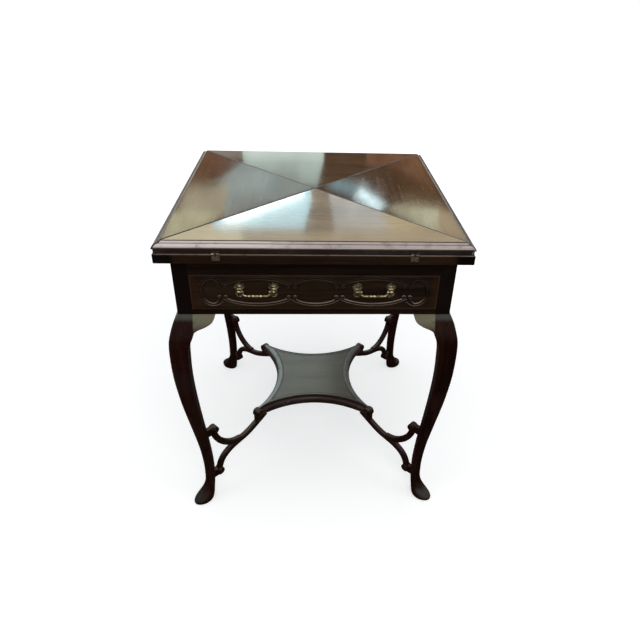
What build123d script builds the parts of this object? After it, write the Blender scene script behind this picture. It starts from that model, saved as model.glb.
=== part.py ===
from build123d import *
import math
import os

# An envelope card table. Four triangular flaps close over a square baize-lined
# slab, which swivels an eighth of a turn on a square frame with one drawer.
# Four cabriole legs carry the frame, and four forked scrolls hold a small
# concave-sided platform between them.
# Millimetres. Origin on the floor under the centre, +Z up, the drawer faces -Y.

# Table as a whole
TOP_SIDE = 610.0
FRAME_SIDE = 560.0
KNEE_HEIGHT = 561.0
FRAME_DEPTH = 122.0
SLAB_THICKNESS = 25.0
FLAP_THICKNESS = 21.7

# Clearances and cutting
SWIVEL_GAP = 0.5
FLAP_REST_GAP = 0.3
FLAP_JOINT = 0.5
SEAT_CLEARANCE = 0.1
RUNNING_CLEARANCE = 0.05
MOVING_GAP = 0.3
DRAWER_GAP = 0.6
OVERRUN = 40.0

# Legs: the square block at the top and the stock that the curve is sawn from
BLOCK_SIDE = 30.0
LEG_STOCK = 57.0
# Each station: its height as a share of the knee height, its inner and outer
# faces as shares of the stock, and its outer, side and inner roundings as shares
# of the section's own side. The list runs from the knee down to the pad foot,
# which is longer towards the corner than across it.
LEG_STATION_SHARES = [
    (1.000, 0.000, 0.535, 0.100, 0.020, 0.020),
    (0.986, 0.000, 0.637, 0.100, 0.020, 0.020),
    (0.963, 0.000, 0.740, 0.110, 0.020, 0.020),
    (0.932, 0.000, 0.838, 0.120, 0.020, 0.020),
    (0.905, 0.090, 0.906, 0.130, 0.060, 0.060),
    (0.870, 0.235, 0.948, 0.170, 0.140, 0.140),
    (0.825, 0.283, 0.964, 0.190, 0.190, 0.190),
    (0.775, 0.300, 0.965, 0.210, 0.210, 0.210),
    (0.715, 0.304, 0.947, 0.230, 0.230, 0.230),
    (0.650, 0.286, 0.899, 0.240, 0.240, 0.240),
    (0.580, 0.252, 0.832, 0.250, 0.250, 0.250),
    (0.510, 0.208, 0.746, 0.270, 0.270, 0.270),
    (0.440, 0.158, 0.656, 0.290, 0.290, 0.290),
    (0.370, 0.104, 0.568, 0.310, 0.310, 0.310),
    (0.310, 0.061, 0.500, 0.330, 0.330, 0.330),
    (0.250, 0.030, 0.455, 0.350, 0.350, 0.350),
    (0.190, 0.014, 0.430, 0.370, 0.370, 0.370),
    (0.125, 0.026, 0.443, 0.420, 0.420, 0.420),
    (0.096, 0.042, 0.468, 0.400, 0.440, 0.400),
    (0.075, 0.060, 0.530, 0.370, 0.480, 0.380),
    (0.056, 0.078, 0.630, 0.340, 0.540, 0.350),
    (0.040, 0.093, 0.760, 0.320, 0.600, 0.320),
    (0.026, 0.106, 0.888, 0.300, 0.650, 0.300),
    (0.015, 0.122, 0.962, 0.300, 0.680, 0.300),
    (0.006, 0.138, 0.965, 0.300, 0.680, 0.300),
    (0.000, 0.175, 0.920, 0.300, 0.680, 0.300),
]
KNEE_STATIONS = 6

# Knee brackets: reach along the rail, depth down the leg, and the S of the
# lower edge as shares of both, from the rail's end to the leg
BRACKET_REACH = 45.5
BRACKET_DROP = 36.5
BRACKET_EDGE_SHARES = [
    (0.985, 0.09), (0.94, 0.24), (0.855, 0.405), (0.77, 0.50), (0.66, 0.583), (0.524, 0.675),
    (0.39, 0.745), (0.27, 0.80), (0.12, 0.90),
]

# Rails and their tenons
RAIL_THICKNESS = 22.0
FRONT_RAIL_WIDTH = 40.0
TOP_RAIL_HEIGHT = 31.0
BOTTOM_RAIL_HEIGHT = 11.0
TENON_LENGTH = 11.0
TENON_THICKNESS = 8.0
TENON_SETBACK = 10.0
TENON_SHOULDER_SHARE = 0.14

# Drawer's running gear inside the frame
RUNNER_WIDTH = 30.0
GUIDE_HEIGHT = 20.0
KICKER_WIDTH = 20.0
KICKER_THICKNESS = 11.0
STOP_LENGTH = 40.0
STOP_WIDTH = 14.0
STOP_HEIGHT = 7.0
BRACE_LEG = 32.0
BRACE_THICKNESS = 20.0

# Pivot board and the swivel's metalwork
BOARD_WIDTH = 120.0
BOARD_THICKNESS = 20.0
BOARD_HOUSING = 5.0
SWIVEL_ANGLE = 45.0
PIVOT_RADIUS = 6.0
BUSH_RADIUS = 9.0
PIVOT_HEAD_RADIUS = 11.0
PIVOT_HEAD_HEIGHT = 4.0
PLATE_RADIUS = 38.0
PLATE_THICKNESS = 3.0
PLATE_SCREW_CIRCLE = 27.0
PLATE_SCREW_LENGTH = 14.0
WASHER_RADIUS = 14.0
WASHER_THICKNESS = 1.6
NUT_ACROSS_FLATS = 18.0
NUT_HEIGHT = 7.0
BOLT_TAIL = 1.0
PEG_RADIUS = 5.0
PEG_CIRCLE = 45.0
PEG_SET_DEPTH = 10.0
PEG_REACH = 14.0
PEG_SLOT_CLEARANCE = 0.5

# Top slab, flaps and baize
SLAB_EDGE_ROUND = 2.2
SLAB_STEP_HEIGHT = 4.5
SLAB_STEP_INSET = 9.0
SLAB_TOP_CHAMFER = 1.5
ARRIS = 0.8
BAIZE_THICKNESS = 0.8
BAIZE_RECESS = 0.9
HINGE_MARGIN = 14.0
FLAP_BORDER = 38.0
BAND_HEIGHT = 8.4
BAND_SETBACK = 2.4
MOULD_WIDTH = 14.5
MOULD_STEP = 1.2
MOULD_BULGE_SHARE = 0.70
# The flap's two ovolos, from the field down to the nose: start, middle and end,
# as shares of the moulding's width in from the edge and of the flap's thickness
SMALL_OVOLO_SHARES = [(1.0, 0.945), (0.814, 0.894), (0.703, 0.783)]
LARGE_OVOLO_SHARES = [(0.648, 0.783), (0.239, 0.720), (0.0, 0.488)]

# Edge hinges
HINGE_OFFSET = 188.0
HINGE_WIDTH = 15.0
HINGE_PLATE = 2.0
SLAB_LEAF_HEIGHT = 13.2
FLAP_LEAF_HEIGHT = 7.5
KNUCKLE_RADIUS = 2.6
KNUCKLE_SHARE = 1 / 3
HINGE_PIN_RADIUS = 1.0
HINGE_STANDOFF = 0.15

# Undertier platform
PLATFORM_TOP = 184.0
PLATFORM_THICKNESS = 20.0
PLATFORM_WAIST = 103.0
PLATFORM_HOLLOW_RADIUS = 222.0
PLATFORM_TIP = 202.0
PLATFORM_EDGE_FLAT = 9.0
PLATFORM_RIM_WIDTH = 13.0
PLATFORM_GROOVE_INSET = 18.0
PLATFORM_GROOVE_WIDTH = 1.4
PLATFORM_GROOVE_DEPTH = 1.0

# Scroll stretchers, in the upright plane through a leg and the centre. Each
# point is the reach from the centre as a share of the pad foot's reach, and
# the height as a share of the platform's top.
FOOT_CENTRE = 280.0
ARM_DEPTH = 16.0
ARM_WIDTH = 15.0
ARM_ROUND = 6.0
SCROLL_SLOPE = -28.0
SCROLL_POINT_SHARES = [
    (0.465, 0.859), (0.588, 0.728), (0.662, 0.677), (0.732, 0.647),
    (0.803, 0.587), (0.851, 0.478), (0.869, 0.348),
]
BRANCH_SLOPE = 0.0
BRANCH_POINT_SHARES = [(0.687, 0.690), (0.783, 0.755), (0.843, 0.886), (0.874, 1.033), (0.876, 1.130)]
VOLUTE_RADIUS = 12.0
VOLUTE_WIDTH = 17.0
VOLUTE_REACH = 206.0
VOLUTE_DROP = 14.0
LANDING_LENGTH = 32.0
LANDING_WIDTH = 11.0
UPPER_KNOB_RADIUS = 10.5
LOWER_KNOB_RADIUS = 10.5
KNOB_WIDTH = 17.0
DOWEL_RADIUS = 3.0
DOWEL_LENGTH = 22.0
DOWEL_IN_SCROLL = 9.0
PLATFORM_SCREW_REACH = 187.0
PLATFORM_SCREW_LENGTH = 28.0
SCREW_RADIUS = 2.0
SCREW_HEAD_RADIUS = 4.0
SCREW_HEAD_HEIGHT = 2.5

# Drawer
FRONT_THICKNESS = 20.0
FRONT_LAP = 5.0
DRAWER_LENGTH = 440.0
SIDE_THICKNESS = 9.0
SIDE_DROP = 1.0
DRAWER_BACK_DROP = 12.0
BOTTOM_THICKNESS = 5.0
BOTTOM_RAISE = 10.0
GROOVE_DEPTH = 4.0
BACK_GROOVE_DEPTH = 3.0
TAIL_COUNT = 4
TAIL_SHARE = 0.62
TAIL_FLARE_SHARE = 0.16
FIELD_DEPTH = 2.0
FIELD_HALF_HEIGHT = 27.5
FIELD_RISE = 2.0
# Ellipses that make the sunk field: centre and half length, as shares of the
# drawer front's half length
FIELD_CELL_SHARES = [(-0.822, 0.087), (-0.469, 0.299), (0.0, 0.215), (0.469, 0.299), (0.822, 0.087)]

# Handles: two posts each, a bail between them
HANDLE_OFFSET = 118.0
POST_SPACING = 68.0
PIVOT_STANDOFF = 10.0
PIVOT_RISE = 4.5
POST_BALL_RADIUS = 4.2
POST_SHANK_RADIUS = 2.5
POST_NUT_SIDE = 9.0
POST_NUT_THICKNESS = 4.0
ROSETTE_THICKNESS = 2.4
ROSETTE_UPPER_RADIUS = 11.5
ROSETTE_LOWER_RADIUS = 9.5
ROSETTE_UPPER_RISE = 7.0
ROSETTE_LOWER_DROP = 8.5
BAIL_PIN_RADIUS = 1.5
BAIL_PIN_INSET = 2.0
BAIL_EYE_RADIUS = 3.4
BAIL_EYE_WIDTH = 4.8
BAIL_RADIUS = 2.0
BAIL_DROP = 10.0
BAIL_GRIP_HALF = 21.0
BAIL_BEND_RADIUS = 4.5
BEAD_RADIUS = 3.2
CENTRE_BEAD_RADIUS = 3.7
BEAD_PITCH = 7.0
BEAD_COUNT = 5

# Heights and faces that follow from the sizes above
FRAME_TOP = KNEE_HEIGHT + FRAME_DEPTH
SLAB_BOTTOM = FRAME_TOP + SWIVEL_GAP
SLAB_TOP = SLAB_BOTTOM + SLAB_THICKNESS
FLAP_BOTTOM = SLAB_TOP + FLAP_REST_GAP
FLAP_TOP = FLAP_BOTTOM + FLAP_THICKNESS
HINGE_HEIGHT = SLAB_TOP + FLAP_REST_GAP / 2
HALF_TOP = TOP_SIDE / 2
HALF_FRAME = FRAME_SIDE / 2
BLOCK_INNER = HALF_FRAME - BLOCK_SIDE
RAIL_INNER = HALF_FRAME - RAIL_THICKNESS
HINGE_REACH = HALF_TOP + HINGE_STANDOFF
KNUCKLE_SWEEP = KNUCKLE_RADIUS + MOVING_GAP
OPENING_LOW = KNEE_HEIGHT + BOTTOM_RAIL_HEIGHT
OPENING_HIGH = FRAME_TOP - TOP_RAIL_HEIGHT
BOARD_BOTTOM = FRAME_TOP - BOARD_THICKNESS
FRONT_HALF_LENGTH = BLOCK_INNER - DRAWER_GAP
FRONT_LOW = OPENING_LOW + DRAWER_GAP
FRONT_HIGH = OPENING_HIGH - DRAWER_GAP
FIELD_HEIGHT = (FRONT_LOW + FRONT_HIGH) / 2 + FIELD_RISE
SIDE_INNER = FRONT_HALF_LENGTH - SIDE_THICKNESS
DRAWER_BACK = DRAWER_LENGTH - HALF_FRAME
FRONT_REAR = FRONT_THICKNESS - HALF_FRAME
SIDE_TOP = OPENING_HIGH - SIDE_DROP
BOTTOM_LOW = FRONT_LOW + BOTTOM_RAISE
BOTTOM_TOP = BOTTOM_LOW + BOTTOM_THICKNESS
FIELD_FACE = FIELD_DEPTH - HALF_FRAME
PIVOT_FACE = FIELD_FACE - PIVOT_STANDOFF
PIVOT_HEIGHT = FIELD_HEIGHT + PIVOT_RISE
PLATFORM_BOTTOM = PLATFORM_TOP - PLATFORM_THICKNESS
FOOT_REACH = FOOT_CENTRE * math.sqrt(2)
VOLUTE_HEIGHT = PLATFORM_TOP - VOLUTE_DROP
PLATFORM_SCREW_LOW = PLATFORM_TOP - PLATFORM_RIM_WIDTH / 2 - PLATFORM_SCREW_LENGTH

# Quarter turns from the back right corner, and from the front side
CORNERS = {"back_right": 0, "back_left": 90, "front_left": 180, "front_right": 270}
SIDES = {"front": 0, "right": 90, "back": 180, "left": 270}


def span(x_faces, y_faces, z_faces):
    """A square-edged block between three pairs of faces."""
    lows = [min(faces) for faces in (x_faces, y_faces, z_faces)]
    sizes = [abs(faces[1] - faces[0]) for faces in (x_faces, y_faces, z_faces)]
    centre = [low + size / 2 for low, size in zip(lows, sizes)]
    return Pos(*centre) * Box(*sizes)


def rod(start, axis, radius, length):
    """A round bar from a point along +X, +Y or +Z."""
    directions = {"x": (1, 0, 0), "y": (0, 1, 0), "z": (0, 0, 1)}
    return extrude(Plane(origin=start, z_dir=directions[axis]) * Circle(radius), length)


def quarter(angle, shape):
    """The shape turned about the table's upright centre line."""
    return Rot(0, 0, angle) * shape


def pair(shape):
    """A shape and its mirror image across the table's middle."""
    return [shape, mirror(shape, about=Plane.YZ)]


def group(shapes):
    """Separate solids kept in one node."""
    return Compound(children=[solid for shape in shapes for solid in shape.solids()])


def station(shares):
    """Height, inner face, outer face and roundings of one leg section."""
    height, inner, outer, corner, side, back = shares
    low = BLOCK_INNER + inner * LEG_STOCK
    high = BLOCK_INNER + outer * LEG_STOCK
    stock = high - low
    return height * KNEE_HEIGHT, low, high, corner * stock, side * stock, back * stock


def leg_section(shares):
    """Square section of the leg, with its own rounding on the outer, side and inner corners."""
    height, low, high, corner, side, back = station(shares)
    bend = 1 - math.sqrt(0.5)
    edges = []
    corners = [(high, low, side, 1, -1), (high, high, corner, 1, 1), (low, high, side, -1, 1), (low, low, back, -1, -1)]
    arcs = []
    for x, y, radius, toward_x, toward_y in corners:
        middle = (x - toward_x * radius * bend, y - toward_y * radius * bend)
        on_x = (x - toward_x * radius, y)
        on_y = (x, y - toward_y * radius)
        turning = toward_x * toward_y < 0
        first, last = (on_x, on_y) if turning else (on_y, on_x)
        arcs.append((first, middle, last))
    for index, (first, middle, last) in enumerate(arcs):
        edges.append(ThreePointArc(first, middle, last))
        edges.append(Line(last, arcs[(index + 1) % len(arcs)][0]))
    return Plane(origin=(0, 0, height)) * make_face(edges)


def make_leg():
    """Cabriole leg at the back right corner, block and pad foot in one piece."""
    curve = loft([leg_section(shares) for shares in LEG_STATION_SHARES])
    faces = (BLOCK_INNER, HALF_FRAME)
    block = span(faces, faces, (KNEE_HEIGHT, FRAME_TOP))
    return block + curve


def make_bracket(leg):
    """Knee bracket under the back rail, beside the back right leg."""
    inner_end = BLOCK_INNER - BRACKET_REACH
    low = KNEE_HEIGHT - BRACKET_DROP
    corner = (BLOCK_INNER, KNEE_HEIGHT)
    edge_points = [
        (BLOCK_INNER - reach * BRACKET_REACH, KNEE_HEIGHT - drop * BRACKET_DROP)
        for reach, drop in BRACKET_EDGE_SHARES
    ]
    start = (inner_end, KNEE_HEIGHT)
    tip = (BLOCK_INNER, low)
    outline = [Line(corner, start), Spline(start, *edge_points, tip), Line(tip, corner)]
    sawn = extrude(Plane.XZ * make_face(outline), -HALF_FRAME - LEG_STOCK)
    knee = [station(shares) for shares in LEG_STATION_SHARES[:KNEE_STATIONS]]
    curve = [(high, height) for height, inner, high, *roundings in knee]
    foot_point = (RAIL_INNER, curve[-1][1])
    head_point = (RAIL_INNER, KNEE_HEIGHT)
    front = [Spline(*curve), Line(curve[-1], foot_point), Line(foot_point, head_point), Line(head_point, curve[0])]
    shaped = extrude(Plane.YZ * make_face(front), HALF_FRAME)
    return (sawn & shaped) - leg


def make_rail(low, high, width):
    """Rail along the back, between the legs, with a tenon at each end."""
    body = span((-BLOCK_INNER, BLOCK_INNER), (HALF_FRAME - width, HALF_FRAME), (low, high))
    shoulder = TENON_SHOULDER_SHARE * (high - low)
    tenon = span(
        (BLOCK_INNER, BLOCK_INNER + TENON_LENGTH),
        (HALF_FRAME - TENON_SETBACK - TENON_THICKNESS, HALF_FRAME - TENON_SETBACK),
        (low + shoulder, high - shoulder),
    )
    return body + pair(tenon)


def make_runner():
    """Right drawer runner, level with the bottom rail."""
    ends = (FRONT_RAIL_WIDTH - HALF_FRAME, RAIL_INNER)
    return span((RAIL_INNER - RUNNER_WIDTH, RAIL_INNER), ends, (KNEE_HEIGHT, OPENING_LOW))


def make_guide():
    """Right guide strip, which stands on the runner and keeps the drawer straight."""
    ends = (FRONT_RAIL_WIDTH - HALF_FRAME, BLOCK_INNER)
    return span((BLOCK_INNER, RAIL_INNER), ends, (OPENING_LOW, OPENING_LOW + GUIDE_HEIGHT))


def make_kicker():
    """Right kicker, which keeps the open drawer level."""
    ends = (FRONT_RAIL_WIDTH - HALF_FRAME, RAIL_INNER)
    return span((RAIL_INNER - KICKER_WIDTH, RAIL_INNER), ends, (OPENING_HIGH, OPENING_HIGH + KICKER_THICKNESS))


def make_drawer_stop():
    """Right stop block, which the drawer front meets from inside."""
    middle = BLOCK_INNER / 2
    rear = FRONT_REAR + STOP_WIDTH
    faces = (middle - STOP_LENGTH / 2, middle + STOP_LENGTH / 2)
    return span(faces, (FRONT_REAR, rear), (OPENING_LOW, OPENING_LOW + STOP_HEIGHT))


def make_brace(rear_face, leg):
    """Corner brace between the right rail and a rail's inner face."""
    inward = -math.copysign(BRACE_LEG, rear_face)
    outline = Polyline(
        (RAIL_INNER, rear_face), (RAIL_INNER - BRACE_LEG, rear_face), (RAIL_INNER, rear_face + inward), close=True,
    )
    brace = extrude(Pos(0, 0, FRAME_TOP - BRACE_THICKNESS) * make_face(outline), BRACE_THICKNESS)
    return brace - leg


def make_pivot_board():
    """Board across the frame that carries the swivel, with the stop slot."""
    reach = RAIL_INNER + BOARD_HOUSING
    half = BOARD_WIDTH / 2
    board = span((-reach, reach), (-half, half), (BOARD_BOTTOM, FRAME_TOP))
    board -= rod((0, 0, BOARD_BOTTOM), "z", BUSH_RADIUS + RUNNING_CLEARANCE, BOARD_THICKNESS)
    half_slot = PEG_RADIUS + PEG_SLOT_CLEARANCE
    wedge = Polyline(
        (0, 0), (BOARD_WIDTH, 0), (BOARD_WIDTH, BOARD_WIDTH * math.tan(math.radians(SWIVEL_ANGLE))), close=True,
    )
    ring = Circle(PEG_CIRCLE + half_slot) - Circle(PEG_CIRCLE - half_slot)
    slot = ring & make_face(wedge)
    for angle in (0, SWIVEL_ANGLE):
        slot += Rot(0, 0, angle) * Pos(PEG_CIRCLE, 0) * Circle(half_slot)
    return board - extrude(Pos(0, 0, BOARD_BOTTOM) * slot, BOARD_THICKNESS)


def make_bush():
    """Brass bush that lines the pivot hole in the board."""
    tube = Circle(BUSH_RADIUS) - Circle(PIVOT_RADIUS + RUNNING_CLEARANCE)
    return extrude(Pos(0, 0, BOARD_BOTTOM) * tube, BOARD_THICKNESS)


def make_pivot_plate():
    """Round plate let into the slab's underside."""
    plate = rod((0, 0, SLAB_BOTTOM), "z", PLATE_RADIUS, PLATE_THICKNESS)
    plate -= rod((0, 0, SLAB_BOTTOM), "z", PIVOT_RADIUS + RUNNING_CLEARANCE, PLATE_THICKNESS)
    for screw in make_plate_screws(SEAT_CLEARANCE):
        plate -= screw
    return plate


def countersunk(length, growth=0.0):
    """A countersunk screw that points up from its head's face at the origin."""
    head = Pos(0, 0, SCREW_HEAD_HEIGHT / 2) * Cone(SCREW_HEAD_RADIUS + growth, SCREW_RADIUS + growth, SCREW_HEAD_HEIGHT)
    return head + rod((0, 0, 0), "z", SCREW_RADIUS + growth, length)


def make_plate_screws(growth=0.0):
    """Four screws that hold the pivot plate to the slab."""
    screw = Pos(PLATE_SCREW_CIRCLE, 0, SLAB_BOTTOM) * countersunk(PLATE_SCREW_LENGTH, growth)
    return [quarter(45 + angle, screw) for angle in CORNERS.values()]


def make_pivot_bolt():
    """Pivot bolt: its head is held above the plate, its shank turns in the bush."""
    low = BOARD_BOTTOM - WASHER_THICKNESS - NUT_HEIGHT - MOVING_GAP - BOLT_TAIL
    plate_top = SLAB_BOTTOM + PLATE_THICKNESS
    shank = rod((0, 0, low), "z", PIVOT_RADIUS, plate_top - low)
    return shank + rod((0, 0, plate_top), "z", PIVOT_HEAD_RADIUS, PIVOT_HEAD_HEIGHT)


def make_pivot_washer():
    """Washer under the pivot board."""
    low = BOARD_BOTTOM - MOVING_GAP - WASHER_THICKNESS
    ring = Circle(WASHER_RADIUS) - Circle(PIVOT_RADIUS + RUNNING_CLEARANCE)
    return extrude(Pos(0, 0, low) * ring, WASHER_THICKNESS)


def make_pivot_nut():
    """Hexagon nut on the pivot bolt."""
    low = BOARD_BOTTOM - MOVING_GAP - WASHER_THICKNESS - NUT_HEIGHT
    hexagon = RegularPolygon(NUT_ACROSS_FLATS / 2, 6, major_radius=False)
    return extrude(Pos(0, 0, low) * (hexagon - Circle(PIVOT_RADIUS + RUNNING_CLEARANCE)), NUT_HEIGHT)


def make_stop_peg():
    """Peg under the slab that stops the swivel at both ends of the slot."""
    return rod((PEG_CIRCLE, 0, SLAB_BOTTOM - PEG_REACH), "z", PEG_RADIUS, PEG_REACH + PEG_SET_DEPTH)


def hinge_places(shape):
    """A hinge piece of the front side, at its two places along the edge."""
    return [Pos(offset, 0, 0) * shape for offset in (-HINGE_OFFSET, HINGE_OFFSET)]


def knuckle(start, end, radius):
    """A length of hinge barrel on the front hinge line."""
    return rod((start, -HINGE_REACH, HINGE_HEIGHT), "x", radius, end - start)


def hinge_pieces():
    """One front hinge at the middle of the edge: slab half, flap half and pin."""
    half = HINGE_WIDTH / 2
    inner = KNUCKLE_SHARE * half
    inner_end = inner - MOVING_GAP
    depth = (-HALF_TOP, HINGE_PLATE - HALF_TOP)
    slab_half = span((-half, half), depth, (SLAB_TOP - SLAB_LEAF_HEIGHT, SLAB_TOP))
    slab_half -= knuckle(-inner, inner, KNUCKLE_SWEEP)
    slab_half += knuckle(-half, -inner, KNUCKLE_RADIUS)
    slab_half += knuckle(inner, half, KNUCKLE_RADIUS)
    flap_depth = (-HALF_TOP, BAND_SETBACK + HINGE_PLATE - HALF_TOP)
    flap_half = span((-half, half), flap_depth, (FLAP_BOTTOM, FLAP_BOTTOM + FLAP_LEAF_HEIGHT))
    flap_half -= knuckle(-half, -inner_end, KNUCKLE_SWEEP)
    flap_half -= knuckle(inner_end, half, KNUCKLE_SWEEP)
    flap_half += knuckle(-inner_end, inner_end, KNUCKLE_RADIUS)
    bore = knuckle(-half, half, HINGE_PIN_RADIUS + RUNNING_CLEARANCE)
    pin = knuckle(-half, half, HINGE_PIN_RADIUS)
    return slab_half - bore, flap_half - bore, pin


def hinge_housing(low, high, plate):
    """Room in the front edge for one hinge half and both sets of knuckles."""
    half = HINGE_WIDTH / 2 + SEAT_CLEARANCE
    seat = span((-half, half), (-HALF_TOP - OVERRUN, plate - HALF_TOP), (low, high))
    return seat + knuckle(-half, half, KNUCKLE_SWEEP)


def make_slab():
    """Square slab under the flaps, recessed for baize, hinges and pivot."""
    step_half = HALF_TOP - SLAB_STEP_INSET
    step_top = SLAB_BOTTOM + SLAB_STEP_HEIGHT
    slab = span((-HALF_TOP, HALF_TOP), (-HALF_TOP, HALF_TOP), (step_top, SLAB_TOP))
    slab = fillet(slab.faces().sort_by(Axis.Z)[0].edges(), SLAB_EDGE_ROUND)
    slab = chamfer(slab.faces().sort_by(Axis.Z)[-1].edges(), SLAB_TOP_CHAMFER)
    step = span((-step_half, step_half), (-step_half, step_half), (SLAB_BOTTOM, step_top))
    slab += fillet(step.faces().sort_by(Axis.Z)[0].edges(), SLAB_EDGE_ROUND)
    reach = HALF_TOP - HINGE_MARGIN
    slab -= span((-reach, reach), (-reach, reach), (SLAB_TOP - BAIZE_RECESS, SLAB_TOP))
    housing_low = SLAB_TOP - SLAB_LEAF_HEIGHT - SEAT_CLEARANCE
    for housing in hinge_places(hinge_housing(housing_low, SLAB_TOP, HINGE_PLATE)):
        for angle in SIDES.values():
            slab -= quarter(angle, housing)
    slab -= rod((0, 0, SLAB_BOTTOM), "z", PLATE_RADIUS + SEAT_CLEARANCE, PLATE_THICKNESS)
    head_room = PLATE_THICKNESS + PIVOT_HEAD_HEIGHT + SEAT_CLEARANCE
    slab -= rod((0, 0, SLAB_BOTTOM), "z", PIVOT_HEAD_RADIUS + SEAT_CLEARANCE, head_room)
    slab -= rod((PEG_CIRCLE, 0, SLAB_BOTTOM), "z", PEG_RADIUS + RUNNING_CLEARANCE, PEG_SET_DEPTH)
    for screw in make_plate_screws(SEAT_CLEARANCE):
        slab -= screw
    return slab


def make_slab_baize():
    """Baize laid in the slab."""
    reach = HALF_TOP - HINGE_MARGIN - SEAT_CLEARANCE
    low = SLAB_TOP - BAIZE_RECESS
    return span((-reach, reach), (-reach, reach), (low, low + BAIZE_THICKNESS))


def front_triangle(margin, base, low, high):
    """Upright triangular prism of the front flap, its mitres set in by a margin."""
    set_back = margin * math.sqrt(2)
    outline = Polyline((0, -set_back), (-base + set_back, -base), (base - set_back, -base), close=True)
    return extrude(Pos(0, 0, low) * make_face(outline), high - low)


def ovolo(shares):
    """Convex member of the front flap's edge, in the upright plane across it."""
    points = [(-HALF_TOP + inset * MOULD_WIDTH, FLAP_BOTTOM + height * FLAP_THICKNESS) for inset, height in shares]
    return ThreePointArc(*points)


def flap_profile():
    """Section of the front flap across its moulded edge."""
    outer = -HALF_TOP
    low = FLAP_BOTTOM
    band = low + BAND_HEIGHT
    recess = outer + BAND_SETBACK
    small, large = ovolo(SMALL_OVOLO_SHARES), ovolo(LARGE_OVOLO_SHARES)
    nose = Polyline(
        large @ 1, (outer, band + ARRIS), (outer + ARRIS, band), (recess, band),
        (recess, low + ARRIS), (recess + ARRIS, low), (0, low), (0, FLAP_TOP),
    )
    field = Polyline((0, FLAP_TOP), (outer + MOULD_WIDTH, FLAP_TOP), small @ 0)
    return make_face([field, small, Line(small @ 1, large @ 0), large, nose])


def make_flap():
    """Front flap: moulded outer edge, mitred sides, baize recess, hinge housings."""
    moulded = extrude(Plane.YZ.offset(-HALF_TOP) * flap_profile(), TOP_SIDE)
    triangle = front_triangle(FLAP_JOINT / 2, HALF_TOP + OVERRUN, FLAP_BOTTOM, FLAP_TOP)
    triangle = chamfer(triangle.faces().sort_by(Axis.Z)[-1].edges(), ARRIS)
    flap = moulded & triangle
    flap -= front_triangle(FLAP_BORDER, HALF_TOP - HINGE_MARGIN, FLAP_BOTTOM, FLAP_BOTTOM + BAIZE_RECESS)
    housing_high = FLAP_BOTTOM + FLAP_LEAF_HEIGHT + SEAT_CLEARANCE
    for housing in hinge_places(hinge_housing(FLAP_BOTTOM, housing_high, BAND_SETBACK + HINGE_PLATE)):
        flap -= housing
    return flap


def make_flap_baize():
    """Baize glued in the front flap's recess."""
    high = FLAP_BOTTOM + BAIZE_RECESS
    base = HALF_TOP - HINGE_MARGIN - SEAT_CLEARANCE
    return front_triangle(FLAP_BORDER + SEAT_CLEARANCE, base, high - BAIZE_THICKNESS, high)


def hollow_axis(shape):
    """A revolved cutter moved to the centre of the front concave side."""
    return Pos(0, -PLATFORM_WAIST - PLATFORM_HOLLOW_RADIUS, 0) * shape


def make_platform():
    """Platform with four concave moulded sides and a fine groove inside the rim."""
    radius = PLATFORM_HOLLOW_RADIUS
    low = PLATFORM_BOTTOM - OVERRUN
    high = PLATFORM_TOP + OVERRUN
    flat_top = PLATFORM_BOTTOM + PLATFORM_EDGE_FLAT
    rim_end = radius + PLATFORM_RIM_WIDTH
    rim_rise = PLATFORM_TOP - flat_top
    bulge = (radius + (1 - MOULD_BULGE_SHARE) * PLATFORM_RIM_WIDTH, flat_top + MOULD_BULGE_SHARE * rim_rise)
    wall = Polyline((0, low), (radius, low), (radius, flat_top))
    rim = ThreePointArc((radius, flat_top), bulge, (rim_end, PLATFORM_TOP))
    back = Polyline((rim_end, PLATFORM_TOP), (rim_end, high), (0, high), (0, low))
    hollow = hollow_axis(revolve(Plane.XZ * make_face([wall, rim, back]), Axis.Z))
    groove_start = radius + PLATFORM_GROOVE_INSET
    groove = Circle(groove_start + PLATFORM_GROOVE_WIDTH) - Circle(groove_start)
    groove = extrude(Pos(0, 0, PLATFORM_TOP - PLATFORM_GROOVE_DEPTH) * groove, PLATFORM_GROOVE_DEPTH)
    groove = hollow_axis(groove) & front_triangle(0, PLATFORM_TIP, PLATFORM_BOTTOM, PLATFORM_TOP)
    tip_square = Rot(0, 0, 45) * Rectangle(2 * PLATFORM_TIP, 2 * PLATFORM_TIP)
    platform = extrude(Pos(0, 0, PLATFORM_BOTTOM) * tip_square, PLATFORM_THICKNESS)
    for angle in SIDES.values():
        platform -= quarter(angle, hollow)
        platform -= quarter(angle, groove)
    for angle in CORNERS.values():
        platform -= to_corner(angle, make_volute())
        platform -= to_corner(angle, make_platform_screw(SEAT_CLEARANCE))
    return platform


def to_corner(angle, shape):
    """A piece made along +X, turned to a corner of the table."""
    return quarter(angle + 45, shape)


def arm(shares, slope):
    """Rounded bar along tangent arcs, in the upright plane through +X."""
    points = [(reach * FOOT_REACH, height * PLATFORM_TOP) for reach, height in shares]
    direction = Vector(math.cos(math.radians(slope)), math.sin(math.radians(slope)))
    arcs = []
    for start, end in zip(points, points[1:]):
        arc = TangentArc(start, end, tangent=direction)
        direction = arc % 1
        arcs.append(arc)
    path = Plane.XZ * Wire(arcs)
    section = Plane(origin=path @ 0, x_dir=(0, 1, 0), z_dir=path % 0) * RectangleRounded(ARM_WIDTH, ARM_DEPTH, ARM_ROUND)
    return sweep(section, path=path)


def crosswise_disc(reach, height, radius, width):
    """Round boss whose axis lies across the stretcher's plane."""
    return rod((reach, -width / 2, height), "y", radius, width)


def make_volute():
    """Volute at the inner end of a stretcher."""
    return crosswise_disc(VOLUTE_REACH, VOLUTE_HEIGHT, VOLUTE_RADIUS, VOLUTE_WIDTH)


def knob_place(shares):
    """Where the knob at the outer end of an arm is centred."""
    reach, height = shares[-1]
    return reach * FOOT_REACH, height * PLATFORM_TOP


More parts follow.
